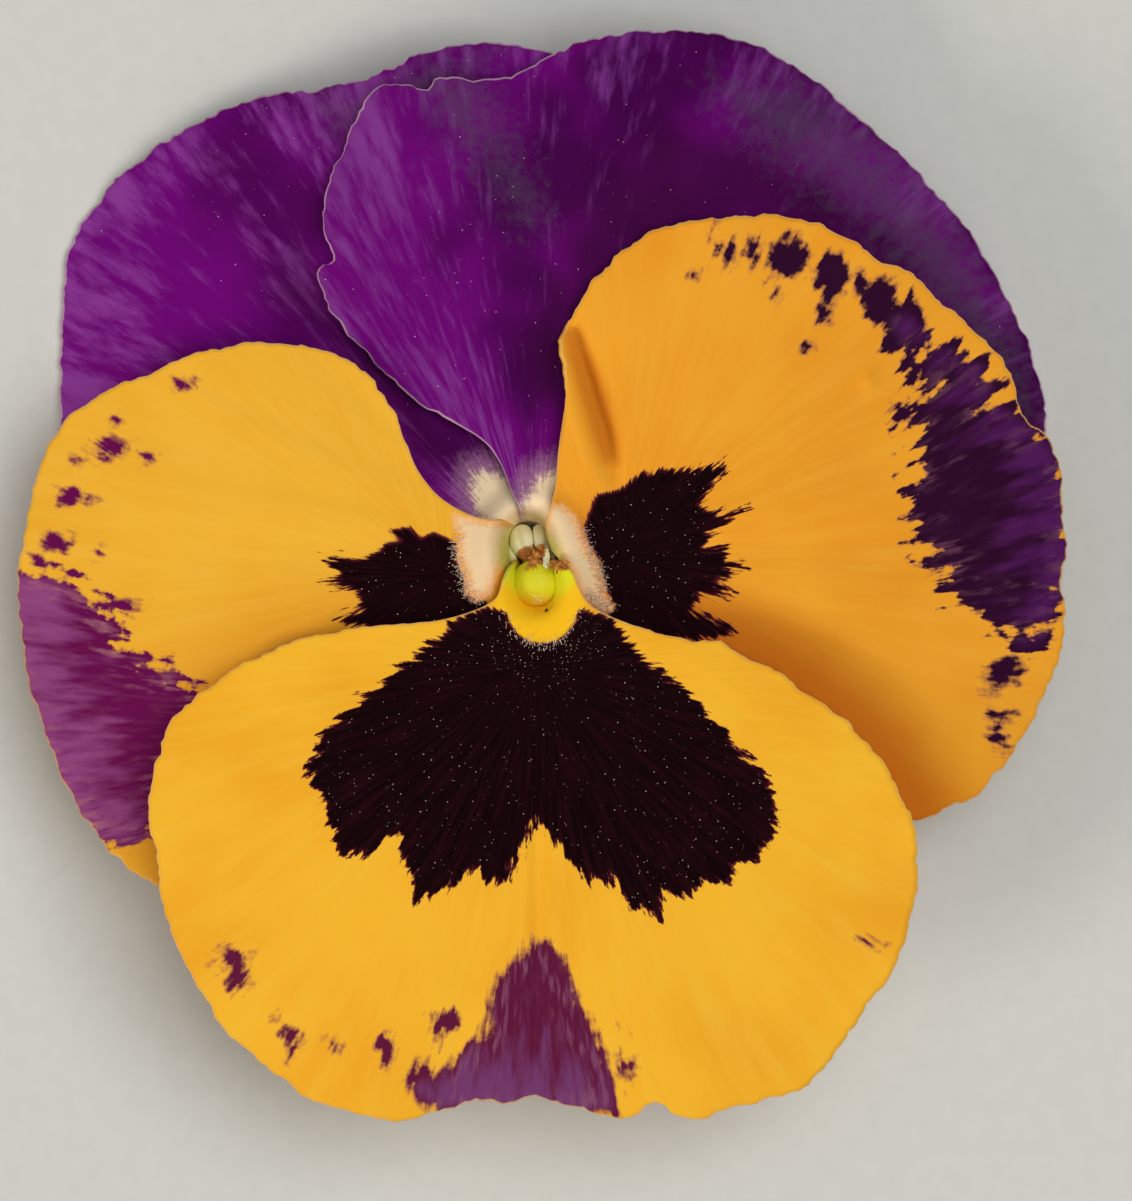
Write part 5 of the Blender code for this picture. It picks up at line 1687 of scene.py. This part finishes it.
satin_stalk = stalk_finish()
pith = pith_finish()
print("stalk finish:", len(satin_stalk.node_tree.nodes), "nodes")

# %% [markdown]
# The stalk is square with rounded ridges, hooks over at its top and swells into the receptacle. A curve
# with a bevel would keep one section all the way, so a ring of vertices is extruded from station to station
# along the route, and each new ring is turned across the route and given the stalk's ridges. Two small
# bracts stand off it.

# %% Stem
STEM_RADIUS = 0.9
STEM_ROUTE = (
    ((5.0, -25.0, 0.9), 1.0), ((3.5, -17.5, 1.15), 1.0), ((1.8, -9.5, 1.25), 1.0), ((0.4, -3.0, 1.15), 1.0),
    ((-0.3, 0.0, 1.35), 1.0), ((-0.65, 1.8, 2.7), 1.0), ((-0.75, 2.05, 4.2), 1.02),
    ((-0.75, 1.95, 5.4), 1.1), ((-0.75, 1.9, 6.4), 1.12), ((-0.75, 1.9, 7.0), 0.95),
    ((-0.75, 1.9, 7.3), 0.6),
)
STEM_SIDES = 40
BRACT_LENGTH = 3.0
BRACT_WIDTH = 1.1
BRACT_PLACES = (((0.5, -3.4, 1.4), -1.0), ((0.9, -4.8, 1.35), 1.0))
BRACT_TAPER = 0.6  # share of the width lost at the tip
BRACT_HALF_THICKNESS = 0.3
BRACT_ROOT = 0.4  # its root starts this far up the stem from its place
BRACT_STANDOFF = 0.55  # its root stands this far out from the stem's middle
BRACT_SPREAD = 0.9  # and its tip this much further
RIDGE_DEPTH = 0.06  # of the four grooves between the ridges, as a share of the radius


def stalk():
    """The stalk from its cut end to the receptacle, with its bracts."""
    route = catmull_rom([Vector((*place, swell)) for place, swell in STEM_ROUTE], False, 8)
    places = [Vector(point[:3]) for point in route]
    shape = bmesh.new()
    ring = bmesh.ops.create_circle(shape, cap_ends=False, segments=STEM_SIDES, radius=1.0)["verts"]
    end_face = shape.faces.new(ring)
    end_face.material_index = 1
    unit = [vert.co.copy() for vert in ring]
    right = Vector((1.0, 0.0, 0.0))
    for number, point in enumerate(route):
        ahead = places[min(number + 1, len(places) - 1)] - places[max(number - 1, 0)]
        side = (right - ahead.normalized() * right.dot(ahead.normalized())).normalized()
        up = side.cross(ahead.normalized())
        if number:
            old_edges = [shape.edges.get((a, b)) for a, b in zip(ring, ring[1:] + ring[:1])]
            grown = bmesh.ops.extrude_edge_only(shape, edges=old_edges)["geom"]
            fresh = {vert for vert in grown if isinstance(vert, bmesh.types.BMVert)}
            ends = [[edge.other_vert(vert) for edge in vert.link_edges] for vert in ring]
            ring = [next(vert for vert in reached if vert in fresh) for reached in ends]
        for vert, flat in zip(ring, unit):
            ridge = 1.0 - RIDGE_DEPTH * (0.5 + 0.5 * math.cos(4.0 * math.atan2(flat.y, flat.x)))
            vert.co = places[number] + (side * flat.x + up * flat.y) * STEM_RADIUS * point[3] * ridge
    shape.faces.new(ring)
    for foot, way in BRACT_PLACES:
        scale_leaf(shape, Vector(foot), way)
    bmesh.ops.recalc_face_normals(shape, faces=shape.faces)
    piece = finish_mesh("stalk", shape, (satin_stalk, pith), ("stem",))
    print("stalk:", len(piece.data.vertices), "vertices,", len(route), "stations")


def scale_leaf(shape, foot, way):
    """A bract: a small pointed scale, which is a flattened sphere with one end drawn out."""
    made = bmesh.ops.create_uvsphere(shape, u_segments=24, v_segments=16, radius=1.0)["verts"]
    for vert in made:
        x, y, z = vert.co
        share = 0.5 + 0.5 * y
        half_width = BRACT_WIDTH / 2 * (1.0 - BRACT_TAPER * share)
        out = way * (BRACT_STANDOFF + BRACT_SPREAD * share) + x * half_width
        vert.co = foot + Vector((out, BRACT_ROOT - BRACT_LENGTH * share, BRACT_HALF_THICKNESS * z))


stalk()

# %% [markdown]
# Beside the throat the side petals carry beards of short club-shaped hairs, which brush pollen off a
# visitor. Each hair is a thin four-sided cone. They stand close together along the inner edges of the two
# dark side blotches and lean in over the throat. A tuft of them stands below the right beard, and a fringe
# lines the yellow guide. A particle system would grow hairs too, but not as meshes. A fixed seed gives the
# same beard on every run.

# %% Beards
HAIR_SEED = 11
BEARD_LINES = {
    "left_beard": ("petal_side_left", 380,
                   ((-4.7, 2.2), (-4.75, 1.0), (-4.3, -0.2), (-4.1, -1.1), (-3.4, -1.5))),
    "right_beard": ("petal_side_right", 380,
                    ((2.2, 2.6), (2.5, 1.6), (3.0, 0.6), (3.3, -0.3), (3.3, -1.0))),
    "right_tuft": ("petal_side_right", 300, ((2.6, -1.2), (3.1, -1.5), (3.7, -1.95))),
    "guide_fringe": ("petal_lower", 200,
                     ((-2.0, -2.2), (-1.4, -3.3), (-0.7, -3.8), (0.0, -3.95), (0.7, -3.8), (1.4, -3.3),
                      (2.0, -2.2))),
}
BEARD_SPREAD = 0.2  # how far the hairs stray from their line
HAIR_LENGTHS = (0.12, 0.36)
HAIR_LEAN = (-0.2, 0.8)  # inwards, as a share of its height
HAIR_RADII = (0.022, 0.009)  # at its foot and its tip
HAIR_SINK = 0.45  # a hair's middle is this share of its length up, so its foot is in the petal
HAIR_SHADE = 0.83  # spacing of paler and darker hairs
OVER_THROAT = Vector((-0.4, 0.3))


def hair_finish():
    """Clear hair cells: whitish cream with a soft shine."""
    made, tree, shader = blank_material("clear_petal_hair")
    place = add_node(tree, "TexCoord")
    shade = add_node(tree, "TexNoise", {}, {"Vector": place.outputs["Object"], "Scale": 1 / MM / HAIR_SHADE})
    tone = add_node(tree, "Mix", COLOUR, {"Factor": shade, "A": "#FADFC0", "B": "#FFF4E6"})
    lay_on(tree, shader, tone, {"Roughness": 0.35})
    return made


def beard(name, node, count, line, finish):
    """Plants hairs along a line on a petal."""
    chance = random.Random(HAIR_SEED + count)
    route = catmull_rom([Vector(point) for point in line], False, 12)
    shape = bmesh.new()
    for number in range(count):
        foot = route[chance.randrange(len(route))].copy()
        foot += Vector([chance.gauss(0.0, BEARD_SPREAD) for axis in "xy"])
        height = petal_height(node, foot, 0.0)
        inward = (OVER_THROAT - foot).normalized()
        lean = Vector([share * chance.uniform(*HAIR_LEAN) for share in inward] + [1.0]).normalized()
        length = chance.uniform(*HAIR_LENGTHS)
        turn = Vector((0.0, 0.0, 1.0)).rotation_difference(lean).to_matrix().to_4x4()
        place = Matrix.Translation(Vector((*foot, height)) + lean * length * HAIR_SINK) @ turn
        bmesh.ops.create_cone(shape, cap_ends=True, segments=4, radius1=HAIR_RADII[0], radius2=HAIR_RADII[1],
                              depth=length, matrix=place)
    finish_mesh(name, shape, (finish,), ())
    print(name, count, "hairs")


clear_hair = hair_finish()
for name, (node, count, line) in BEARD_LINES.items():
    beard(name, node, count, line, clear_hair)

# %% [markdown]
# Pollen. Loose grains lie as bright dust all over the dark velvet, where each one glints. A real grain is
# 0.06 mm across, about one pixel here, and only the largest are drawn so: the others are smaller, down to
# 0.015 mm, because in the picture most show as less than a whole pixel. Each is an icosphere of twenty
# faces.

# %% Pollen on the petals
POLLEN_SEED = 23
POLLEN_TINT = 3.33  # size of a yellower or paler drift
GRAIN_SIZES = (0.45, 1.35)  # smallest share of the given radius, and what chance adds
DUST_INSET = 0.3  # the dust keeps this far inside its outline
AROUND_GUIDE = (
    (-3.6, -2.2), (-2.2, -2.0), (-1.6, -3.4), (0.0, -4.1), (1.6, -3.4), (2.3, -2.0), (3.6, -2.6),
    (3.0, -5.0), (0.0, -7.0), (-3.0, -5.2),
)


def pollen_finish():
    """Dry pollen: chalky pale yellow."""
    made, tree, shader = blank_material("dry_pollen")
    place = add_node(tree, "TexCoord")
    shade = add_node(tree, "TexNoise", {},
                     {"Vector": place.outputs["Object"], "Scale": 1 / MM / POLLEN_TINT})
    tone = add_node(tree, "Mix", COLOUR, {"Factor": shade, "A": "#FFF6DC", "B": "#F6E8A8"})
    lay_on(tree, shader, tone, {"Roughness": 0.6})
    return made


def dust(name, node, outline, count, size, finish):
    """Scatters grains over the part of a petal inside an outline."""
    chance = random.Random(POLLEN_SEED + count)
    xs = [x for x, y in outline]
    ys = [y for x, y in outline]
    sides = ((min(xs), max(xs)), (min(ys), max(ys)))
    tries = np.array([[chance.uniform(*side) for side in sides] for attempt in range(4 * count)])
    kept = tries[inside_distance(tries, outline) > DUST_INSET][:count]
    shape = bmesh.new()
    for x, y in kept:
        height = petal_height(node, Vector((x, y)), 0.0)
        radius = size * (GRAIN_SIZES[0] + GRAIN_SIZES[1] * chance.random() ** 2)
        bmesh.ops.create_icosphere(shape, subdivisions=1, radius=radius,
                                   matrix=Matrix.Translation((x, y, height + radius * 0.5)))
    finish_mesh(name, shape, (finish,), ())
    print(name, len(kept), "grains")


chalky = pollen_finish()
dust("dust_on_lower_blotch", "petal_lower", LOWER_BLOTCH, 620, 0.017, chalky)
dust("dust_round_guide", "petal_lower", AROUND_GUIDE, 120, 0.014, chalky)
dust("dust_on_left_blotch", "petal_side_left", LEFT_BLOTCH, 50, 0.018, chalky)
dust("dust_on_right_blotch", "petal_side_right", RIGHT_BLOTCH, 90, 0.018, chalky)
dust("dust_on_right_velvet", "petal_upper_right", UPPER_RIGHT, 420, 0.018, chalky)
dust("dust_on_left_velvet", "petal_upper_left", UPPER_LEFT, 160, 0.018, chalky)

# %% [markdown]
# More grains stick to the moist front of the stigma, whole and larger. Below it a dry crumb of some other
# plant has fallen on the guide. It is dull and dark, like a flake of bark, and has a colour but no pattern,
# because it is only two pixels wide.

# %% Pollen on the stigma, and a crumb
STUCK_SIDE = (0.1, 0.45)  # middle and spread across the stigma
STUCK_DOWN = (0.6, 1.2)  # from its middle towards the front
STUCK_RADII = (0.014, 0.034)
CRUMB = Vector((0.25, -2.0))
CRUMB_HALF_SIZE = (0.07, 0.1)
CRUMB_LIFT = 0.04


def stigma_dust(count):
    """Grains that stick to the moist lower front of the stigma."""
    chance = random.Random(POLLEN_SEED)
    shape = bmesh.new()
    for number in range(count):
        side = chance.gauss(*STUCK_SIDE)
        down = chance.uniform(*STUCK_DOWN)
        rise = math.sqrt(max(STIGMA_RADIUS ** 2 - side * side - down * down, 0.0))
        radius = chance.uniform(*STUCK_RADII)
        place = AXIS_TIP + Vector((side, -down, rise + 0.3 * radius))
        bmesh.ops.create_icosphere(shape, subdivisions=1, radius=radius,
                                   matrix=Matrix.Translation(place))
    finish_mesh("pollen_on_stigma", shape, (chalky,), ())
    print("pollen_on_stigma", count, "grains")


stigma_dust(80)
crumb, _, crumb_shader = blank_material("dry_plant_crumb")
crumb_shader.inputs["Base Color"].default_value = linear("#3E3A16")
crumb_shader.inputs["Roughness"].default_value = 0.8
crumb_height = petal_height("petal_lower", CRUMB, 0.0) + CRUMB_LIFT
torn_scale("crumb_on_guide", (*CRUMB, crumb_height), *CRUMB_HALF_SIZE, 0.0, 0.7, crumb)
